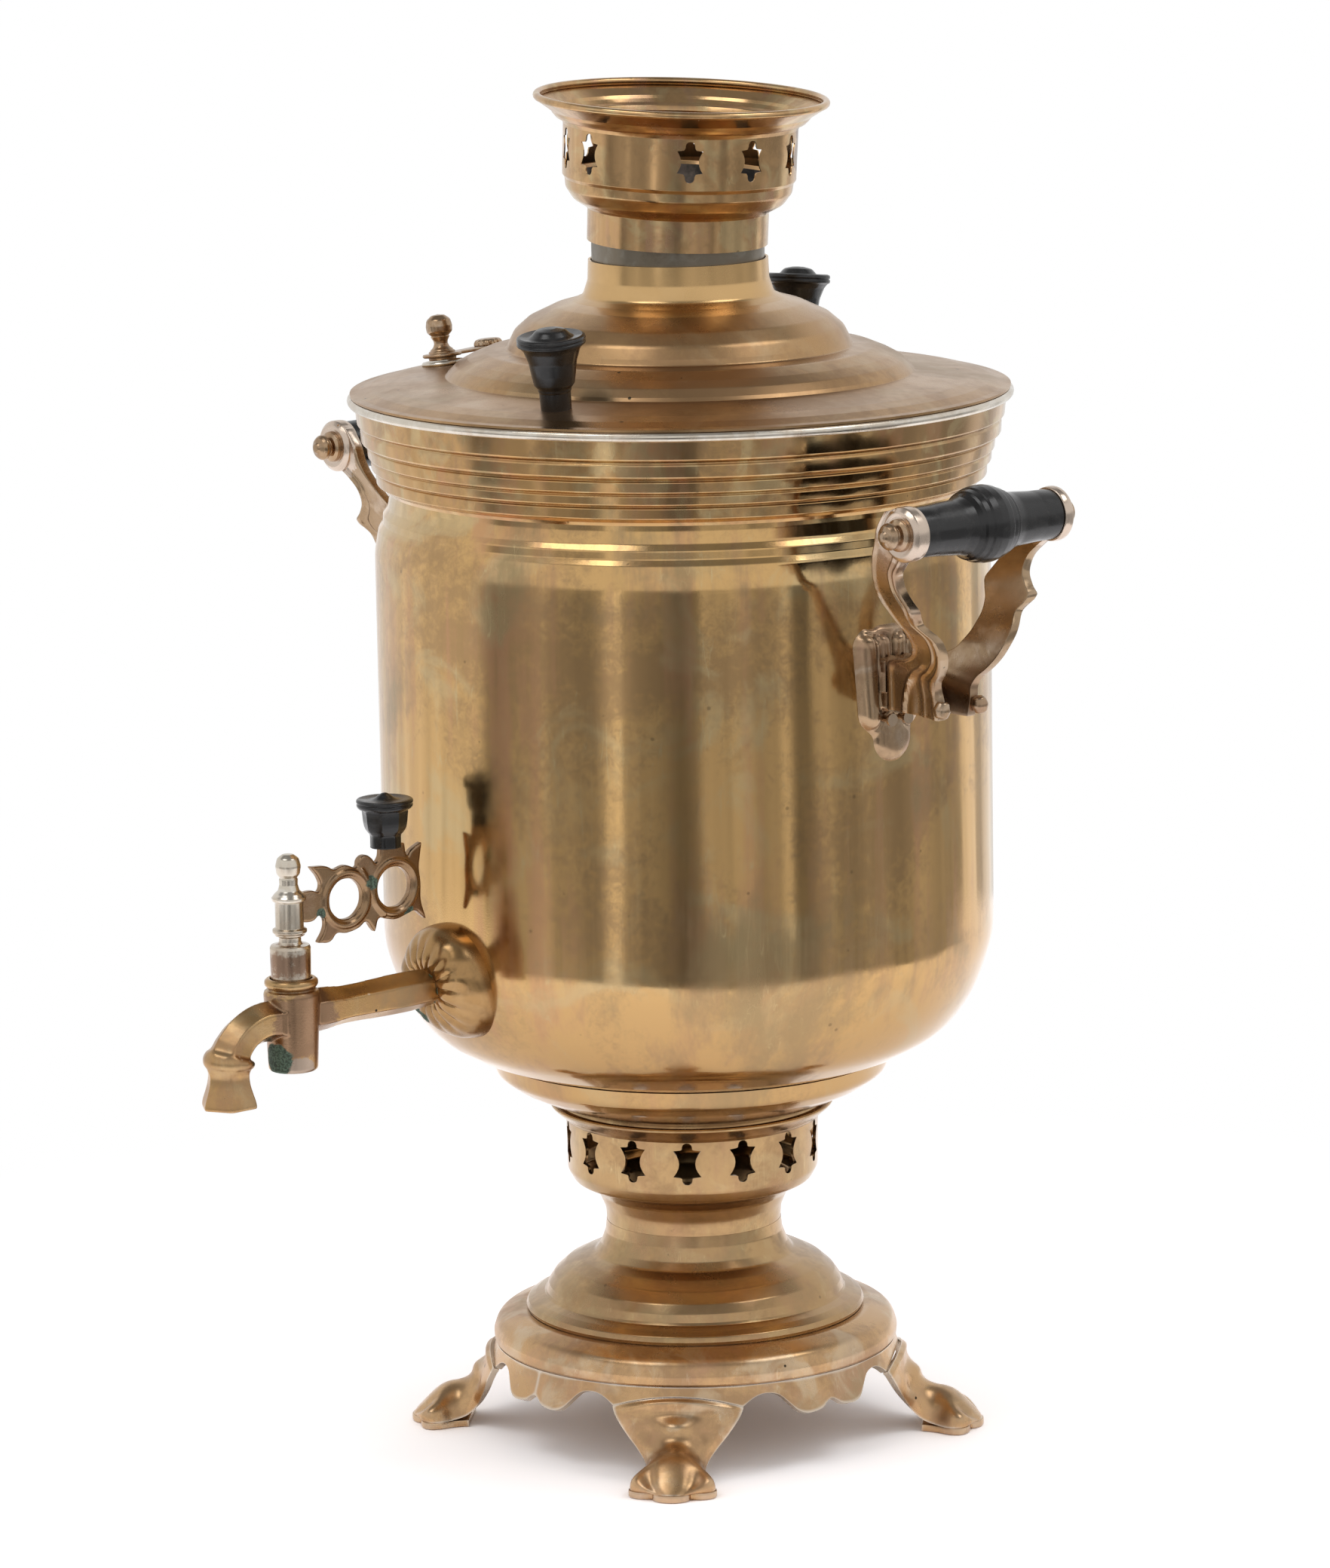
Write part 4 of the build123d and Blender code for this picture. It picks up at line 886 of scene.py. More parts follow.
pad = {
    "halfWidth": 16.0, "low": 280.4, "high": 320.4, "corner": 8.5, "tongueHalf": 9.2, "tongueLow": 269.6,
    "tongueAside": 2.0, "taper": 0.0052,
    "puff": 3.4, "edge": 1.7, "columns": 70, "rows": 100,
    # lobes: sideways place, lowest and highest height, radius, rise
    "lobes": [(11.6, 287.5, 312.5, 4.8, 2.1), (4.4, 291.5, 313.5, 3.4, 1.9)],
    # flat seat under the brackets: half width, lowest and highest height, rise
    "seat": (6.9, 289.2, 309.0, 6.0),
    # notches in the top edge: depth, sideways place, width, reach downwards
    "notch": (1.4, 7.6, 2.4, 4),
    "wall": 114.1, "margin": 1.6, "thick": 1.4,
}
bracket = {
    # share down, inner edge (x, y, z), outer edge (x, y, z)
    "stations": [
        (0.00, 156.2, 37.0, 369.0, 161.5, 37.0, 370.6), (0.05, 151.6, 37.0, 363.2, 165.0, 37.0, 361.6),
        (0.10, 149.6, 36.6, 357.4, 165.4, 36.2, 355.0), (0.15, 147.2, 35.6, 352.4, 161.2, 34.0, 350.8),
        (0.20, 144.8, 33.6, 347.8, 156.9, 32.8, 346.6), (0.25, 142.7, 31.4, 343.6, 155.8, 31.4, 342.6),
        (0.29, 141.0, 29.0, 340.0, 156.4, 30.4, 339.2), (0.33, 139.9, 27.2, 337.2, 158.6, 29.7, 336.0),
        (0.37, 141.0, 26.0, 334.0, 161.0, 28.9, 333.0), (0.41, 143.0, 24.4, 330.6, 160.2, 27.4, 330.2),
        (0.46, 144.5, 21.6, 326.4, 158.8, 24.6, 327.0), (0.52, 144.8, 18.4, 322.6, 161.5, 20.4, 322.6),
        (0.58, 144.4, 15.8, 319.4, 162.1, 18.4, 319.6), (0.64, 142.8, 13.4, 316.2, 161.3, 16.2, 315.6),
        (0.70, 140.0, 11.8, 313.2, 159.3, 14.4, 311.4), (0.76, 133.6, 10.2, 310.8, 156.2, 12.8, 307.6),
        (0.82, 125.6, 8.4, 309.4, 152.6, 11.4, 304.4), (0.88, 121.4, 6.6, 306.6, 151.2, 10.0, 301.0),
        (0.94, 120.4, 5.8, 300.6, 151.6, 9.2, 296.8), (1.00, 120.2, 5.4, 290.6, 151.0, 8.4, 290.4)],
    "columns": 30, "rows": 110, "wall": 3.2,
    # ridges along the outer face: place across, width, height
    "ridges": [(0.06, 0.050, 0.8), (0.94, 0.060, 1.2), (0.70, 0.035, 0.7)],
    # beads across the outer edge: share down, width, height
    "beads": [(0.375, 0.018, 0.9), (0.40, 0.012, 0.7)],
    "scrollFrom": 0.72,
    "eye": {"axis": (164.6, 361.6), "radius": 9.8, "from": 32.1, "to": 38.6}, "rearThinner": 1.4,
    "knob": {"corners": [(0, -3.1), (2.2, -2.9, 1.4), (3.2, 0, 2.4), (2.2, 2.9, 1.4), (0, 3.1)],
             "place": (153.4, 9.0, 294.6), "tilt": 12},
}
grip = {
    "corners": [(2.6, -32.0), (9.0, -32.0, 0.5), (9.1, -24.0, 20), (9.9, -13.0, 12), (10.8, -9.6, 1.0),
                (11.5, -8.8, 0.4), (11.6, -7.8, 0.4), (12.3, -7.0, 0.6), (12.7, -4.9, 0.6), (13.3, -4.2, 0.4),
                (13.8, -1.6, 1.4), (13.8, 1.6, 1.4), (13.3, 4.2, 0.4), (12.7, 4.9, 0.6), (12.3, 7.0, 0.6),
                (11.5, 7.8, 0.4), (10.5, 9.6, 1.0), (9.8, 13.0, 12), (9.1, 24.0, 20), (9.0, 32.0, 0.5),
                (2.6, 32.0)],
}
ballNut = {
    "corners": [(2.7, 38.2), (5.9, 38.2, 0.3), (5.7, 39.4, 0.5), (4.6, 40.2, 0.4), (3.1, 40.6, 0.4), (3.0, 41.3, 0.3),
                (4.6, 42.0, 1.0), (4.9, 43.4, 1.4), (3.8, 44.8, 1.0), (2.2, 45.6, 0.6), (1.6, 46.3, 0.6),
                (0.0, 46.7)],
    "seat": 38.2, "rearShare": 0.75,
}


def roundedBoxDistance(x, z, halfX, halfZ, corner):
    dx, dz = abs(x) - halfX + corner, abs(z) - halfZ + corner
    return sqrt(max(dx, 0) ** 2 + max(dz, 0) ** 2) + min(max(dx, dz), 0) - corner


def softUnion(first, second, reach):
    share = min(max(0.5 + 0.5 * (second - first) / reach, 0), 1)
    return second + (first - second) * share - reach * share * (1 - share)


def padHeight(side, height):
    middle, halfTall = (pad["low"] + pad["high"]) / 2, (pad["high"] - pad["low"]) / 2
    tongue = roundedBoxDistance(side - pad["tongueAside"], height - pad["tongueLow"] - 10, pad["tongueHalf"], 10,
                                pad["tongueHalf"])
    side /= 1 - pad["taper"] * (pad["high"] - height)
    plate = roundedBoxDistance(side, height - middle, pad["halfWidth"], halfTall, pad["corner"])
    depth, place, width, reach = pad["notch"]
    notch = depth * exp(-((abs(side) - place) / width) ** 2 - ((height - pad["high"]) / reach) ** 2)
    distance = softUnion(plate + notch, tongue, 3)
    rise = pad["puff"] * (1 - exp(min(distance, 0) / pad["edge"])) - 0.5 if distance < 0 else -0.5 - distance * 0.4
    for place, low, high, radius, lift in pad["lobes"]:
        off = sqrt((abs(side) - place) ** 2 + max(low - height, height - high, 0) ** 2) / radius
        rise += lift * max(1 - off * off, 0) ** 0.7
        rise -= 0.6 * exp(-((off - 1.15) / 0.22) ** 2) * min(max(-distance - 1, 0), 1)
    half, low, high, lift = pad["seat"]
    seat = roundedBoxDistance(side, height - (low + high) / 2, half, (high - low) / 2, 2.5)
    return max(rise, lift) if seat < 0 else rise


def padPlace(across, down):
    margin = pad["margin"]
    side = (across * 2 - 1) * (pad["halfWidth"] + margin)
    height = pad["high"] + margin - down * (pad["high"] - pad["tongueLow"] + 2 * margin)
    radius = pad["wall"] + padHeight(side, height)
    return Vector((sqrt(radius * radius - side * side), side, height))


def bracketPlace(across, down):
    inX, inY, inZ, outX, outY, outZ = along(bracket["stations"], down)
    return Vector((inX, inY, inZ)).lerp(Vector((outX, outY, outZ)), across)


def bracketFace(across, down):
    lift = 0
    for place, width, height in bracket["ridges"]:
        lift += height * exp(-((across - place) / width) ** 2)
    for place, width, height in bracket["beads"]:
        lift += height * exp(-((across - 1.0) / 0.10) ** 2 - ((down - place) / width) ** 2)
    further = down - bracket["scrollFrom"]
    if further > 0:
        # a scrolled line with a hollow beside it, both fading in
        scroll = 0.42 + 0.10 * sin(further * 16)
        fade = min(1, further / 0.06)
        lift += 0.9 * fade * exp(-((across - scroll) / 0.035) ** 2)
        lift -= 0.7 * fade * exp(-((across - 0.62) / 0.10) ** 2)
    return bracketPlace(across, down) + Vector((0, lift, 0))


def makeBracket(side, rear):
    arm = gridPiece("bracketArm", bracket["columns"], bracket["rows"], bracketFace)
    inner = gridPiece("bracketInner", bracket["columns"], bracket["rows"],
                      lambda across, down: bracketPlace(across, down) - Vector((0, bracket["wall"], 0)))
    arm = joinPieces(arm, inner)
    bpy.ops.object.mode_set(mode="EDIT")
    bpy.ops.mesh.select_all(action="DESELECT")
    bpy.ops.mesh.select_non_manifold()
    bpy.ops.mesh.bridge_edge_loops()
    bpy.ops.mesh.select_all(action="SELECT")
    bpy.ops.mesh.normals_make_consistent(inside=False)
    bpy.ops.object.mode_set(mode="OBJECT")
    addModifier(arm, "BEVEL", width=0.8 * mm, segments=3, limit_method="ANGLE", angle_limit=radians(50))
    applyModifiers(arm)
    axisX, axisZ = bracket["eye"]["axis"]
    eyeRadius, low, high = bracket["eye"]["radius"], bracket["eye"]["from"], bracket["eye"]["to"]
    high -= bracket["rearThinner"] * rear
    eye = spinPiece("eye", [(2.6, low), (eyeRadius - 0.2, low, 0.6), (eyeRadius + 0.1, low + 2.0, 1.5),
                            (eyeRadius, high - 1.6, 1.2), (eyeRadius - 1.8, high, 1.0), (6.6, high - 0.3, 0.8),
                            (2.6, high - 0.5)], closed=True, steps=72)
    movePiece(eye, Matrix.Translation((axisX, 0, axisZ)) @ Matrix.Rotation(-pi / 2, 4, "X"))
    look = bracket["knob"]
    knob = spinPiece("footKnob", look["corners"], steps=32)
    movePiece(knob, Matrix.Translation(look["place"]) @ Matrix.Rotation(radians(look["tilt"]), 4, "X"))
    arm = joinPieces(arm, eye, knob)
    if side < 0:
        movePiece(arm, Matrix.Scale(-1, 4, (0, 1, 0)))
        flipFaces(arm)
    smooth(arm, 45)
    return arm


def makeHandle(sideName, halfTurn):
    turn = Matrix.Rotation(halfTurn, 4, "Z")
    axis = Matrix.Translation((bracket["eye"]["axis"][0], 0, bracket["eye"]["axis"][1]))
    plate = gridPiece("pad_" + sideName, pad["columns"], pad["rows"], padPlace)
    giveWall(plate, pad["thick"])
    smooth(plate, 40)
    movePiece(plate, turn)
    finishPiece(plate, "vessel", copperBrass, "copper_brass", "handle_pad_" + sideName)
    for end, side in (("rear", 1), ("front", -1)):
        arm = makeBracket(side if sideName == "right" else -side, side > 0)
        arm.name = "bracket_" + sideName + "_" + end
        movePiece(arm, turn)
        finishPiece(arm, "vessel", bracketBrass, "copper_brass", f"bracket_{sideName}_{end}")
    bar = spinPiece("grip_" + sideName, grip["corners"], closed=True, steps=96)
    movePiece(bar, turn @ axis @ Matrix.Rotation(pi / 2, 4, "X"))
    finishPiece(bar, "vessel", bakelite, "black_bakelite", "grip_" + sideName)
    nuts = [spinPiece("ballNut", ballNut["corners"], steps=48) for end in range(2)]
    # the rear nut is shorter, and its seat lies further in
    seat, rearShare = ballNut["seat"], ballNut["rearShare"]
    shorter = Matrix.Translation((0, 0, seat - bracket["rearThinner"] - seat * rearShare))
    shorter = shorter @ Matrix.Scale(rearShare, 4, (0, 0, 1))
    rearDirection = -1 if sideName == "right" else 1
    for nut, direction in zip(nuts, (-1, 1)):
        flat = shorter if direction == rearDirection else Matrix()
        movePiece(nut, turn @ axis @ Matrix.Rotation(direction * pi / 2, 4, "X") @ flat)
    both = joinPieces(*nuts)
    both.name = "ballNuts_" + sideName
    finishPiece(both, "vessel", copperBrass, "copper_brass", "ball_nuts_" + sideName)


makeHandle("right", 0)
makeHandle("left", pi)
print("handles ready")


# rosette boss with gathered pleats round the shank

rosette = {
    "radius": 20.3, "height": 188.0, "reach": 11.4, "neck": 5.5, "rings": 64, "turns": 180,
    # pleats: place round the shank in degrees, width, depth
    "pleats": [(4, 7, 1.0), (26, 5, 0.8), (47, 6, 0.5), (70, 6, 0.6), (92, 5, 0.8), (112, 6, 1.0), (133, 5, 0.7),
               (152, 7, 1.1), (176, 6, 0.8), (198, 5, 1.0), (213, 5, 1.1), (229, 5, 1.2), (246, 6, 1.1),
               (268, 6, 0.9), (290, 6, 1.0), (312, 5, 0.9), (336, 6, 1.2)],
    "thick": 1.5,
}
wallOutline = roundedOutline(vessel["corners"])


def wallRadius(height):
    for low, high in zip(wallOutline, wallOutline[1:]):
        if low.y <= height <= high.y:
            return low.x + (high.x - low.x) * (height - low.y) / (high.y - low.y)
    return wallOutline[-1].x


def rosettePlace(across, share):
    # across runs round the shank, share runs from the shank out to the wall
    turn = across * 360
    radius = rosette["neck"] + (rosette["radius"] - rosette["neck"]) * sin(share * pi / 2) ** 0.9
    puff = rosette["reach"] * cos(share * pi / 2) ** 0.62
    gather = exp(-(share / 0.12) ** 2)
    depth = 0
    for place, width, deep in rosette["pleats"]:
        off = (turn - place + 180) % 360 - 180
        depth += 0.85 * deep * exp(-(off / (width * (0.50 + 1.5 * share))) ** 2)
    fade = max(0, 1 - share * 1.25) ** 1.2 + 0.16 * sin(share * pi) ** 2
    swell = 0.8 * sin(radians(turn * 2 + 30)) * sin(share * pi) ** 2
    lift = puff - gather * 1.6 - depth * fade * 1.5 + swell
    out = radius - depth * 0.35 * sin(share * pi)
    side, high = out * cos(radians(turn)), rosette["height"] + out * sin(radians(turn))
    wall = sqrt(wallRadius(high) ** 2 - side * side)
    sink = 1.6 * share ** 5
    return Vector((side, -(wall + lift - sink), high))


def makeRosette():
    boss = gridPiece("tapRosette", rosette["turns"], rosette["rings"], rosettePlace)
    bpy.ops.object.mode_set(mode="EDIT")
    bpy.ops.mesh.select_all(action="SELECT")
    bpy.ops.mesh.remove_doubles(threshold=0.01 * mm)
    bpy.ops.mesh.flip_normals()
    bpy.ops.object.mode_set(mode="OBJECT")
    giveWall(boss, rosette["thick"])
    smooth(boss, 60)
    finishPiece(boss, "vessel", rosetteBrass, "copper_brass", "tap_rosette")


makeRosette()
print("rosette ready")


# tap key: two crossing rings with thorns, raised rims and a ridge between them

tapKey = {
    "axis": -185.0, "height": 225.4, "plate": 3.2, "edge": 0.7,
    "rings": [(24.5, 0.4), (46.2, 1.7)], "hole": 8.1, "rim": (9.7, 1.25),
    # outline from the tang round to the tang; "c" marks a sharp corner
    "outline": [(4.4, -4.7, "c"), (9.4, -4.9), (12.0, -3.4), (14.6, -4.2), (15.8, -7.2), (15.0, -10.4),
                (12.9, -13.4, "c"), (16.6, -13.6), (19.8, -11.0), (24.5, -11.4), (29.6, -10.4), (33.4, -8.6),
                (36.9, -12.2, "c"), (38.9, -8.2), (42.6, -8.9), (46.4, -9.6), (52.0, -8.3), (55.4, -7.6),
                (59.1, -10.2, "c"), (57.6, -5.0), (57.6, 1.8), (57.0, 7.6), (57.6, 11.6), (58.3, 15.4, "c"),
                (54.6, 13.6), (52.6, 11.6), (51.4, 13.0), (50.7, 16.6, "c"), (41.3, 16.6, "c"), (40.6, 12.8),
                (38.0, 11.0), (35.9, 13.2), (33.4, 14.5), (31.3, 13.4), (30.4, 10.8), (24.5, 12.0), (19.4, 11.2),
                (16.0, 12.8), (10.6, 13.4, "c"), (13.4, 9.6), (14.2, 6.2), (12.6, 4.0), (9.6, 4.8),
                (4.4, 4.6, "c")],
    "ridge": [(31.6, 9.6), (34.0, 5.6), (35.6, 1.2), (37.6, -3.4), (41.2, -7.4)],
    "ridgeRadius": 1.25, "ridgeSteps": 24, "sunk": 0.35, "cell": 0.28,
}


def keyPlane():
    # key drawings lie flat with x along the shank and y up; this stands them up on the tap's axis
    return Matrix(((0, 0, 1, 0), (1, 0, 0, tapKey["axis"]), (0, 1, 0, tapKey["height"]), (0, 0, 0, 1)))


def smoothPath(points, count):
    stations = [(index / (len(points) - 1), *point) for index, point in enumerate(points)]
    return [along(stations, step / count) for step in range(count + 1)]


def makeKey():
    deselectAll()
    bpy.ops.curve.primitive_bezier_curve_add()
    drawing = bpy.context.object
    curve = drawing.data
    curve.splines.clear()
    curve.dimensions = "2D"
    curve.fill_mode = "BOTH"
    curve.resolution_u = 6
    curve.extrude = (tapKey["plate"] / 2 - tapKey["edge"]) * mm
    curve.bevel_depth = tapKey["edge"] * mm
    curve.bevel_resolution = 3
    spline = curve.splines.new("BEZIER")
    spline.bezier_points.add(len(tapKey["outline"]) - 1)
    for point, spot in zip(spline.bezier_points, tapKey["outline"]):
        point.co = (spot[0] * mm, spot[1] * mm, 0)
        point.handle_left_type = point.handle_right_type = "VECTOR" if len(spot) > 2 else "AUTO"
    spline.use_cyclic_u = True
    for across, high in tapKey["rings"]:
        hole = curve.splines.new("BEZIER")
        hole.bezier_points.add(7)
        for index, point in enumerate(hole.bezier_points):
            angle = -index * pi / 4
            point.co = ((across + tapKey["hole"] * cos(angle)) * mm, (high + tapKey["hole"] * sin(angle)) * mm, 0)
            point.handle_left_type = point.handle_right_type = "AUTO"
        hole.use_cyclic_u = True
    pickOnly(drawing)
    bpy.ops.object.convert(target="MESH")
    plate = bpy.context.object
    parts = []
    face = tapKey["plate"] / 2 - tapKey["sunk"]
    for across, high in tapKey["rings"]:
        major, minor = tapKey["rim"]
        for side in (-1, 1):
            deselectAll()
            bpy.ops.mesh.primitive_torus_add(major_radius=major * mm, minor_radius=minor * mm, major_segments=72,
                                             minor_segments=12)
            rim = bpy.context.object
            movePiece(rim, Matrix.Translation((across, high, side * face)))
            parts.append(rim)
    for side in (-1, 1):
        for spot in smoothPath(tapKey["ridge"], tapKey["ridgeSteps"]):
            deselectAll()
            bpy.ops.mesh.primitive_uv_sphere_add(segments=12, ring_count=8, radius=tapKey["ridgeRadius"] * mm)
            bead = bpy.context.object
            movePiece(bead, Matrix.Translation((*spot, side * face)))
            parts.append(bead)
    whole = joinPieces(plate, *parts)
    whole.name = "tapKey"
    movePiece(whole, keyPlane())
    fuse(whole, tapKey["cell"], 5)
    finishPiece(whole, "tap_key", keyBrass, "polished_brass", "tap_key")


makeKey()
print("key ready")


# walls pierced by stars: a waisted rectangle with four points and a lobe at each end

starDepth = 12


def starOutline(width, tall, shoulder, waist):
    half = [(0, 0.5), (0.08, 0.492), (0.145, 0.46), (0.18, 0.405), (0.185, 0.35), (0.24, shoulder + 0.02),
            (0.5, shoulder), (waist + (0.5 - waist) * 0.45, shoulder * 0.66),
            (waist + (0.5 - waist) * 0.1, shoulder * 0.32), (waist, 0)]
    right = half + [(x, -y) for x, y in half[-2::-1]]
    left = [(-x, y) for x, y in right[-2:0:-1]]
    return [(x * width, y * tall) for x, y in right + left]


def starCutter(heading, radius, height, outline):
    spots = [(radius - starDepth / 2, side, height + high) for side, high in outline]
    cutter = flatSolid(spots, starDepth, 0, 0)
    movePiece(cutter, headingPlace(heading))
    return cutter


def cutAway(piece, *cutters):
    tool = joinPieces(*cutters)
    addModifier(piece, "BOOLEAN", operation="DIFFERENCE", solver="EXACT", object=tool)
    applyModifiers(piece)
    bpy.data.objects.remove(tool)


def pierce(wall, look):
    outline = starOutline(*look["hole"])
    cutAway(wall, *[starCutter(heading, look["holeRadius"], look["holeHeight"], outline)
                    for heading in look["headings"]])


crown = {
    "corners": [(32.8, 449.7), (32.9, 461.6, 0.8), (34.3, 462.8, 0.5), (38.4, 465.2, 5), (41.2, 469.2, 3),
                (41.6, 472.6, 0.6), (42.5, 473.9, 0.5), (42.7, 492.6, 0.6), (43.5, 494.3, 0.6), (45.6, 495.1, 0.7),
                (46.8, 496.4, 0.7), (47.6, 497.6, 0.7), (53.2, 501.4)],
    "wall": 0.5, "bead": (53.1, 1.4, 502.2), "ledge": [(33.4, 460.9), (27.3, 460.9), (27.3, 461.9), (33.4, 461.9)],
    "hole": (9.5, 15.0, 0.27, 0.34), "holeRadius": 42.8, "holeHeight": 484.2,
    "headings": [55.1 + 32.4 * k for k in range(6)] + [0.1 - 25.0 * k for k in range(5)],
    # outline of a dark lining inside the crown: soot and painted shade
    "soot": [(33.6, 462.5), (38.0, 465.7, 5), (40.7, 469.4, 3), (41.1, 472.7), (41.0, 472.8), (40.5, 469.6, 3),
             (37.9, 465.9, 5), (33.6, 462.8)],
    "lean": 3.3, "leanHeading": 102.0, "leanHeight": 453.0,
}


def makeCrown():
    shell = spinPiece("crownShell", crown["corners"], wall=crown["wall"], steps=168)
    pierce(shell, crown)
    bead = ringBead(*crown["bead"], steps=168)
    ledge = spinPiece("crownLedge", crown["ledge"], closed=True, steps=168)
    whole = joinPieces(shell, bead, ledge)
    whole.name = "crownShell"
    smooth(whole, 34)
    swing = Matrix.Rotation(radians(crown["leanHeading"] - 90), 4, "Z")
    lean = swing @ Matrix.Rotation(radians(crown["lean"]), 4, "Y") @ swing.inverted()
    middle = Matrix.Translation((0, 0, crown["leanHeight"]))
    leaning = middle @ lean @ middle.inverted()
    movePiece(whole, leaning)
    finishPiece(whole, "crown", crownBrass, "polished_brass", "crown")
    # a dark iron lining inside the crown: soot and painted shade seen through the holes
    soot = spinPiece("crownSootAndShade", crown["soot"], closed=True, steps=96)
    movePiece(soot, leaning)
    finishPiece(soot, "crown", iron, "iron_grate")


neck = {
    "corners": [(32.8, 80.5), (33.1, 85.2, 10), (35.6, 91.0, 4), (39.4, 94.2, 3), (44.6, 96.3, 4), (47.1, 100.8, 4),
                (47.4, 120.8)],
    "wall": 1.3,
    "flange": [(44.0, 120.0), (47.5, 120.0, 0.2), (48.6, 121.3, 1.0), (50.6, 123.0, 1.2), (52.8, 124.9, 0.5),
               (53.3, 125.7, 0.5), (52.7, 126.3, 0.3), (50.8, 125.6, 0.3), (49.8, 126.0), (49.2, 127.6),
               (44.0, 127.6)],
    "hole": (10.4, 16.0, 0.31, 0.29), "holeRadius": 47.4, "holeHeight": 111.9,
    "headings": [47.8 + 360 / 14 * k for k in range(14)],
}
pedestal = {
    "corners": [(63.4, 46.9), (63.9, 48.2, 0.6), (63.0, 50.0, 1.2), (60.2, 51.5, 2), (56.9, 52.6, 0.8),
                (56.2, 53.6, 0.5), (55.2, 56.4, 3), (52.9, 59.8, 4), (48.6, 63.6, 6), (43.0, 66.3, 8),
                (37.6, 68.0, 2.5), (35.2, 71.2, 3), (33.4, 76.0, 4), (32.9, 80.5)],
    "wall": 1.4,
}


def makeNeck():
    wall = spinPiece("galleryWall", neck["corners"], wall=neck["wall"], steps=168)
    pierce(wall, neck)
    flange = spinPiece("galleryFlange", neck["flange"], closed=True, steps=168)
    whole = joinPieces(wall, flange)
    whole.name = "galleryNeck"
    smooth(whole, 34)
    finishPiece(whole, "vessel", neckBrass, "polished_brass", "gallery_neck")
    dome = spinPiece("pedestalDome", pedestal["corners"], wall=pedestal["wall"], steps=168)
    finishPiece(dome, "vessel", neckBrass, "polished_brass", "pedestal")


makeCrown()
makeNeck()
print("crown, gallery and pedestal ready")


# tap: six-sided shank and spout run into a round barrel, all one casting, with a turned plug and its key

tap = {
    "axis": -185.0, "cell": 0.36,
    "barrel": [(6.1, 166.8), (8.2, 166.8, 0.6), (8.9, 167.7, 0.5), (10.1, 194.6, 0.6), (9.7, 196.0, 0.3),
               (8.5, 196.3, 0.2), (8.3, 196.9, 0.2), (9.0, 197.3, 0.4), (9.7, 198.3, 0.8), (9.6, 199.7, 0.8),
               (8.7, 200.5, 0.5), (7.6, 200.6, 0.3), (7.6, 197.0), (6.9, 196.0)],
    # share along, place (y, z), downward turn in degrees, half width over flats, corner reach over flat
    "shank": [(0.00, -178.6, 187.0, 0, 0.05, 1.0), (0.03, -178.6, 187.0, 0, 6.2, 1.15),
              (0.30, -162.0, 187.1, 0, 6.1, 1.155), (0.97, -121.0, 187.6, 0, 5.6, 1.155),
              (1.00, -121.0, 187.6, 0, 0.05, 1.0)],
    "spout": [(0.00, -191.6, 185.4, 0, 0.05, 1.00), (0.03, -191.6, 185.4, 0, 6.4, 1.14),
              (0.10, -194.0, 185.8, 0, 6.5, 1.15), (0.20, -198.5, 186.0, 6, 6.4, 1.15),
              (0.30, -203.0, 185.0, 22, 6.4, 1.15), (0.40, -207.6, 182.6, 38, 6.4, 1.15),
              (0.49, -211.2, 179.0, 56, 6.6, 1.15), (0.545, -212.5, 176.8, 68, 7.1, 1.12),
              (0.565, -212.9, 175.9, 74, 8.5, 1.04), (0.60, -213.3, 174.4, 80, 9.2, 1.02),
              (0.635, -213.5, 172.8, 84, 9.0, 1.02), (0.66, -213.6, 171.7, 86, 7.9, 1.06),
              (0.70, -213.6, 169.6, 90, 7.1, 1.14), (0.76, -213.6, 166.4, 90, 7.3, 1.155),
              (0.80, -213.6, 163.6, 90, 8.0, 1.155), (0.845, -213.6, 160.4, 90, 9.0, 1.15),
              (0.88, -213.6, 158.4, 90, 9.4, 1.14), (0.90, -213.6, 157.6, 90, 9.1, 1.13),
              (0.915, -213.6, 157.6, 90, 7.4, 1.05), (0.93, -213.6, 158.0, 90, 6.8, 1.00),
              (0.97, -213.6, 168.0, 90, 4.6, 1.00), (1.00, -213.6, 168.2, 90, 0.05, 1.00)],
}
plug = {
    "corners": [(0, 166.4), (5.3, 166.4, 0.3), (6.1, 196.2, 0.2), (6.9, 196.4, 0.2), (7.2, 201.0, 1.0),
                (7.35, 211.5, 0.5), (6.9, 212.5, 0.3), (4.5, 212.8, 0.4), (4.0, 213.8, 0.4), (4.0, 215.5, 0.5),
                (5.3, 216.0, 0.4), (5.6, 216.7, 0.3), (6.2, 217.2, 0.5), (6.2, 218.3, 0.5), (5.1, 218.8, 0.2),
                (5.1, 228.2, 0.2), (6.1, 228.7, 0.5), (6.3, 229.8, 0.6), (5.6, 230.6, 0.4), (5.1, 231.3, 0.4),
                (3.9, 232.3, 0.9), (3.3, 234.5, 1.2), (3.4, 236.4, 0.4), (3.1, 236.9, 0.3), (4.2, 238.4, 1.6),
                (4.6, 241.2, 2.6), (3.9, 244.0, 2.0), (2.0, 245.4, 1.2), (0, 245.7)],
}
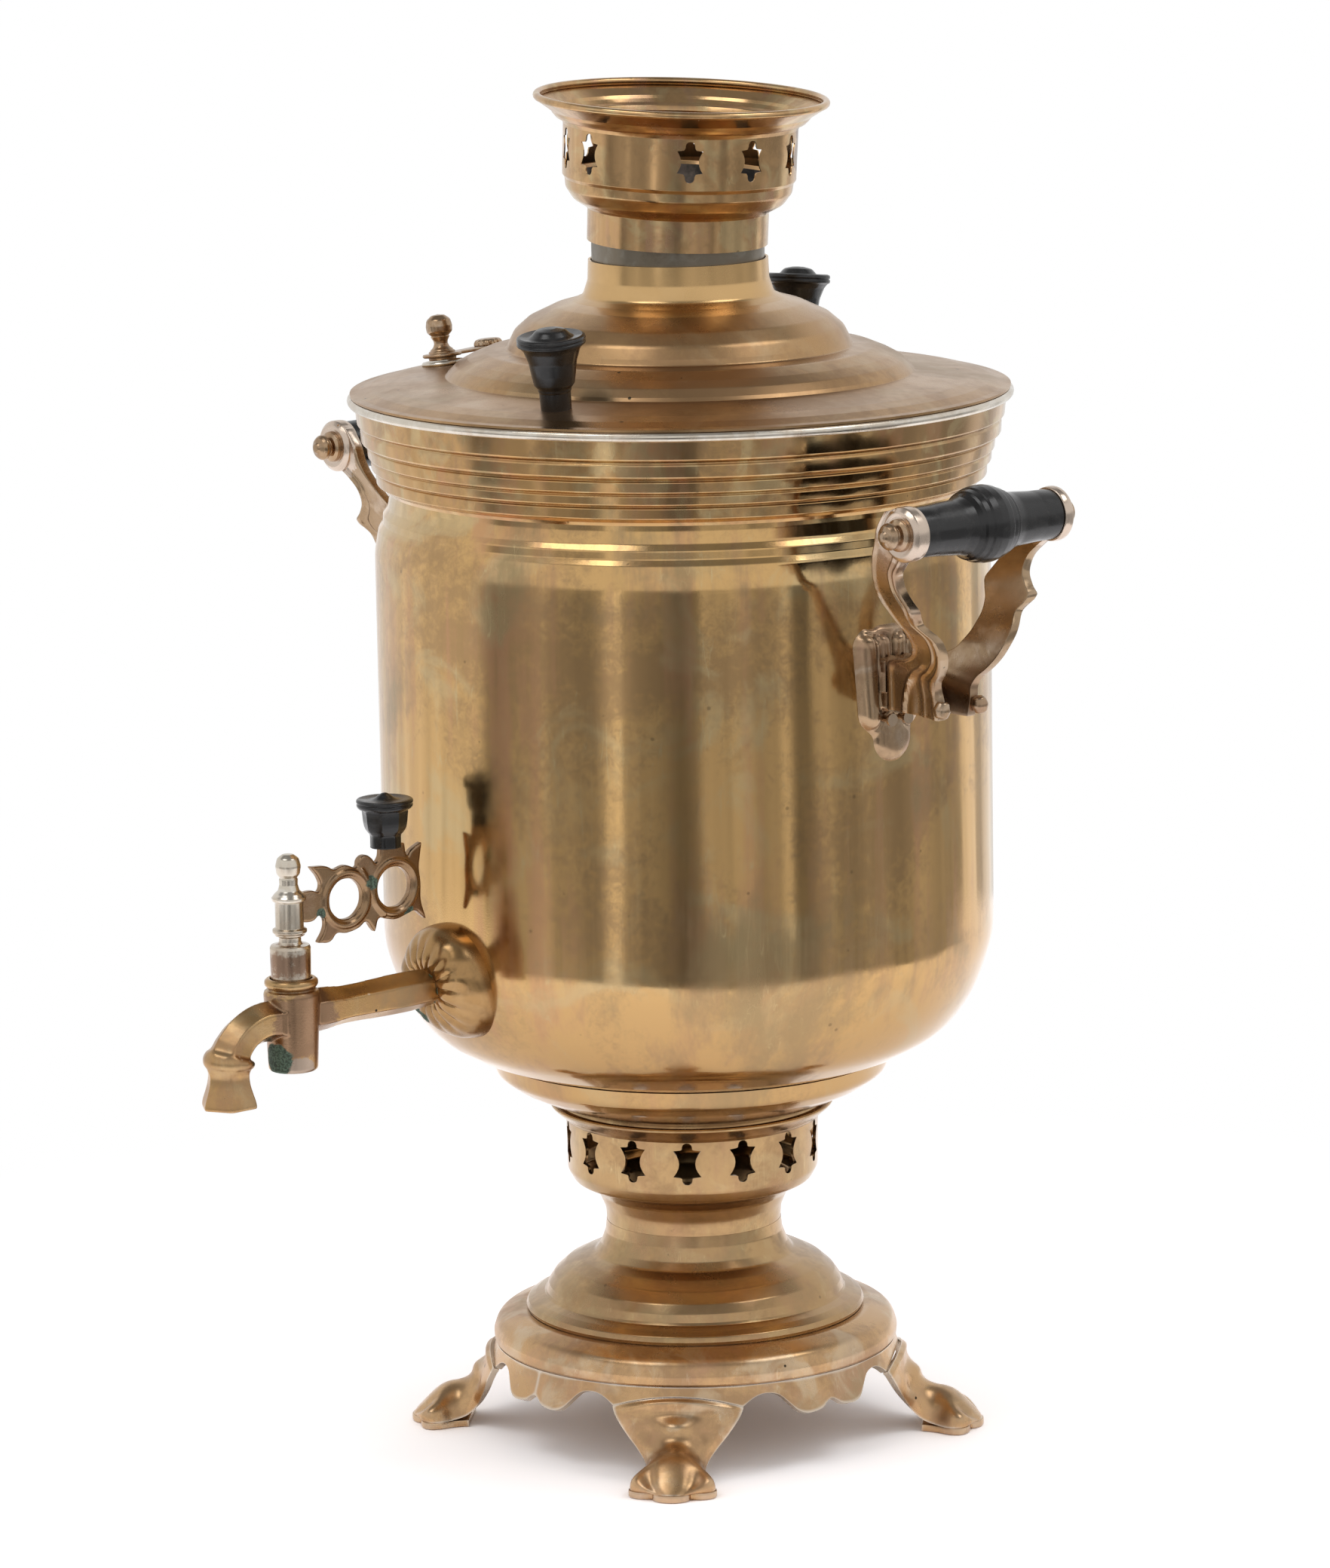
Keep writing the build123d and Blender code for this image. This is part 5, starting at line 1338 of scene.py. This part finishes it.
keyKnob = {
    "axis": -141.2, "low": 242.0,
    # share up the side, height, half width over flats, corner reach over flat
    "stations": [(0.00, 0.0, 0.05, 1.0), (0.02, 0.0, 5.1, 1.02), (0.04, 0.3, 5.4, 1.03), (0.16, 4.4, 5.4, 1.05),
                 (0.20, 5.2, 5.9, 1.06), (0.26, 6.7, 6.9, 1.07), (0.36, 9.0, 7.4, 1.08), (0.50, 12.9, 7.8, 1.08),
                 (0.56, 13.9, 8.2, 1.05), (0.59, 14.3, 9.5, 1.0), (0.62, 15.0, 10.1, 1.0), (0.65, 15.8, 10.2, 1.0),
                 (0.67, 16.2, 9.9, 1.0), (0.70, 16.6, 10.3, 1.0), (0.74, 17.4, 10.2, 1.0), (0.77, 17.8, 9.4, 1.0),
                 (0.84, 17.5, 5.4, 1.0), (0.88, 18.0, 3.7, 1.0), (0.93, 19.1, 2.2, 1.0), (0.97, 19.8, 1.0, 1.0),
                 (1.00, 20.0, 0.05, 1.0)],
}


def polygonReach(angle, sides, corner):
    sector = 2 * pi / sides
    return min(1 / cos(angle % sector - sector / 2), corner)


def sweptPiece(name, stations, sides, rows):
    def skin(across, down):
        angle = across * 2 * pi
        y, z, turn, half, corner = along(stations, down)
        reach = half * polygonReach(angle, sides, corner)
        turn = radians(turn)
        return Vector((reach * sin(angle), y - reach * cos(angle) * sin(turn), z + reach * cos(angle) * cos(turn)))
    return closeUp(gridPiece(name, sides * 10, rows, skin))


def facetedPiece(name, stations, sides, rows):
    def skin(across, down):
        angle = across * 2 * pi
        z, half, corner = along(stations, down)
        reach = half * polygonReach(angle, sides, corner)
        return Vector((reach * cos(angle), reach * sin(angle), z))
    return closeUp(gridPiece(name, sides * 10, rows, skin))


def makeTap():
    axis = Matrix.Translation((0, tap["axis"], 0))
    barrel = spinPiece("tapBarrel", tap["barrel"], closed=True, steps=96)
    movePiece(barrel, axis)
    shank = sweptPiece("tapShank", tap["shank"], 6, 60)
    spout = sweptPiece("tapSpout", tap["spout"], 6, 150)
    body = joinPieces(barrel, shank, spout)
    body.name = "tapBody"
    fuse(body, tap["cell"], 2)
    finishPiece(body, "vessel", tapBrass, "polished_brass", "tap_body")
    stem = spinPiece("tapPlug", plug["corners"], steps=72)
    movePiece(stem, axis)
    finishPiece(stem, "tap_key", plugTin, "tinned_trim", "tap_plug")
    knob = facetedPiece("tapKeyKnob", keyKnob["stations"], 8, 120)
    movePiece(knob, Matrix.Translation((0, keyKnob["axis"], keyKnob["low"])))
    smooth(knob, 30)
    finishPiece(knob, "tap_key", bakelite, "black_bakelite", "tap_key_knob")


makeTap()
print("tap ready")


# lid fittings: two bell-shaped knobs, and the steam vent with its swinging cover

lidFitting = {"radius": 99.5, "height": 399.8, "slope": 6.78}
lidKnob = {
    "headings": {"front": 24.0, "rear": 204.0},
    "corners": [(0, -0.3), (5.5, -0.3, 0.3), (5.7, 6.4, 0.4), (6.0, 6.9, 0.2), (6.1, 7.8, 0.3), (7.3, 9.3, 1.2),
                (8.0, 13.0, 6), (8.7, 17.5, 6), (10.2, 21.8, 4), (11.3, 23.2, 0.5), (12.3, 23.8, 0.4),
                (12.4, 24.8, 0.4), (11.9, 25.2, 0.2), (12.4, 25.6, 0.3), (12.2, 26.6, 0.5), (11.3, 27.0, 0.5),
                (8.2, 26.3, 1.2), (7.0, 27.1, 0.6), (5.3, 28.9, 2.5), (2.2, 29.6, 1.5), (0, 29.7)],
}
vent = {
    "heading": -66.4, "hole": 5.6,
    "ring": [(5.6, -1.5), (6.3, -1.5), (6.4, -0.1), (7.9, 0.1, 0.4), (8.2, 0.8, 0.5), (7.6, 1.6, 0.4),
             (6.9, 1.4, 0.3), (5.6, 0.9, 0.4)],
    "pivot": (-98.8001, -11.7812, 399.795), "across": (0.262189, -0.965016, 0.0),
    "upright": (-0.113908, -0.030948, 0.993009), "reach": 29.07, "low": 3.0,
    "disc": [(0, -1.2), (5.1, -1.2, 0.2), (5.3, 0.0), (7.0, 0.0, 0.3), (7.5, 0.6, 0.4), (7.2, 1.3, 0.3),
             (5.0, 1.4, 0.2), (5.0, 2.0, 0.3), (4.4, 2.4, 0.2), (4.2, 2.8, 0.2), (3.2, 3.6, 1.5), (2.6, 4.9, 1.5),
             (2.7, 6.0, 1.0), (3.4, 7.2, 0.4), (3.6, 7.6, 0.2), (3.3, 7.9, 0.2), (4.8, 9.3, 1.8), (5.0, 11.6, 2.4),
             (4.5, 14.0, 2.2), (2.5, 15.6, 1.5), (0, 16.0)],
    # strip: length, width, thickness; radius of its eye
    "strip": (26.0, 6.6, 1.2), "stripEye": 5.2, "stripCorners": 64,
    # fluted head of the pivot: radius, height, number of flutes
    "head": (5.6, 2.6, 14),
    "post": [(0, -2.0), (3.0, -2.0), (3.0, 2.9, 0.2), (1.5, 2.95), (1.5, 4.4), (0, 4.4)],
}


def fittingPlace(heading):
    return headingPlace(heading, lidFitting["radius"], lidFitting["height"]) @ Matrix.Rotation(
        radians(lidFitting["slope"]), 4, "Y")


def makeLidKnob(name, heading):
    knob = spinPiece("lidKnob_" + name, lidKnob["corners"], steps=96)
    movePiece(knob, fittingPlace(heading))
    finishPiece(knob, "lid", bakelite, "black_bakelite", "lid_knob_" + name)


def coverPlace(along=0.0, lift=0.0):
    across, upright = Vector(vent["across"]), Vector(vent["upright"])
    other = upright.cross(across)
    spot = Vector(vent["pivot"]) + across * along + upright * lift
    return Matrix.Translation(spot) @ Matrix((across, other, upright)).transposed().to_4x4()


def headSkin(across, down):
    # a fluted dome down to its edge, then its flat underside back to the middle
    radius, tall, flutes = vent["head"]
    angle = across * 2 * pi
    dome = min(down * 1.6, 1)
    edge = 0.63
    if down < edge:
        reach, high = radius * sin(dome * pi / 2) ** 0.45, tall * cos(dome * pi / 2) ** 0.8
    else:
        reach, high = radius * (1 - (down - edge) / (1 - edge)) + 0.01, 0
    reach *= 1 - 0.07 * (0.5 + 0.5 * cos(flutes * angle)) * min(1, down * 2.2)
    return Vector((reach * cos(angle), reach * sin(angle), high))


def makeVent():
    ring = spinPiece("ventRing", vent["ring"], closed=True, steps=64)
    movePiece(ring, fittingPlace(vent["heading"]))
    finishPiece(ring, "lid", wornTin, "tinned_trim", "vent_seat")
    disc = spinPiece("ventCover", vent["disc"], steps=64)
    movePiece(disc, coverPlace(vent["reach"], vent["low"]))
    length, width, thick = vent["strip"]
    spots = []
    for index in range(vent["stripCorners"]):
        angle = index / vent["stripCorners"] * 2 * pi
        end, girth = (0, vent["stripEye"]) if cos(angle) < 0 else (length, width / 2)
        spots.append((end + girth * cos(angle), girth * sin(angle), 0))
    strip = flatSolid(spots, 0, 0, thick)
    addModifier(strip, "BEVEL", width=0.3 * mm, segments=2, limit_method="ANGLE")
    applyModifiers(strip)
    movePiece(strip, coverPlace(0, vent["low"]))
    cover = joinPieces(disc, strip)
    cover.name = "ventCover"
    smooth(cover, 34)
    finishPiece(cover, "vent_cover", ventBrass, "polished_brass", "vent_cover")
    head = closeUp(gridPiece("pivotHead", 112, 36, headSkin))
    movePiece(head, coverPlace(0, vent["low"] + thick + 0.1))
    post = spinPiece("pivotPost", vent["post"], steps=40)
    movePiece(post, coverPlace())
    pivot = joinPieces(head, post)
    pivot.name = "ventPivot"
    smooth(pivot, 50)
    finishPiece(pivot, "lid", ventBrass, "polished_brass", "vent_pivot")


def makeVentHole(sheet):
    hole = spinPiece("ventHole", [(0, -6), (vent["hole"], -6), (vent["hole"], 6), (0, 6)], steps=48)
    movePiece(hole, fittingPlace(vent["heading"]))
    cutAway(sheet, hole)


for knobName, knobHeading in lidKnob["headings"].items():
    makeLidKnob(knobName, knobHeading)
makeVentHole(bpy.data.objects["lidSheet"])
makeVent()
print("lid fittings ready")


# every CAD node that stays gets its finish

finishOfSlot = {"polished_brass": agedBrass, "satin_brass": lidBrass, "copper_brass": copperBrass,
                "tinned_trim": wornTin, "tinned_tube": greyTube, "iron_grate": iron, "black_bakelite": bakelite}


def dressCadNodes():
    for row in frame["record"]["subparts"]:
        node = frame["nodes"][row["node"]]
        node.data.materials.clear()
        node.data.materials.append(finishOfSlot[row["material_slot"]])


dressCadNodes()
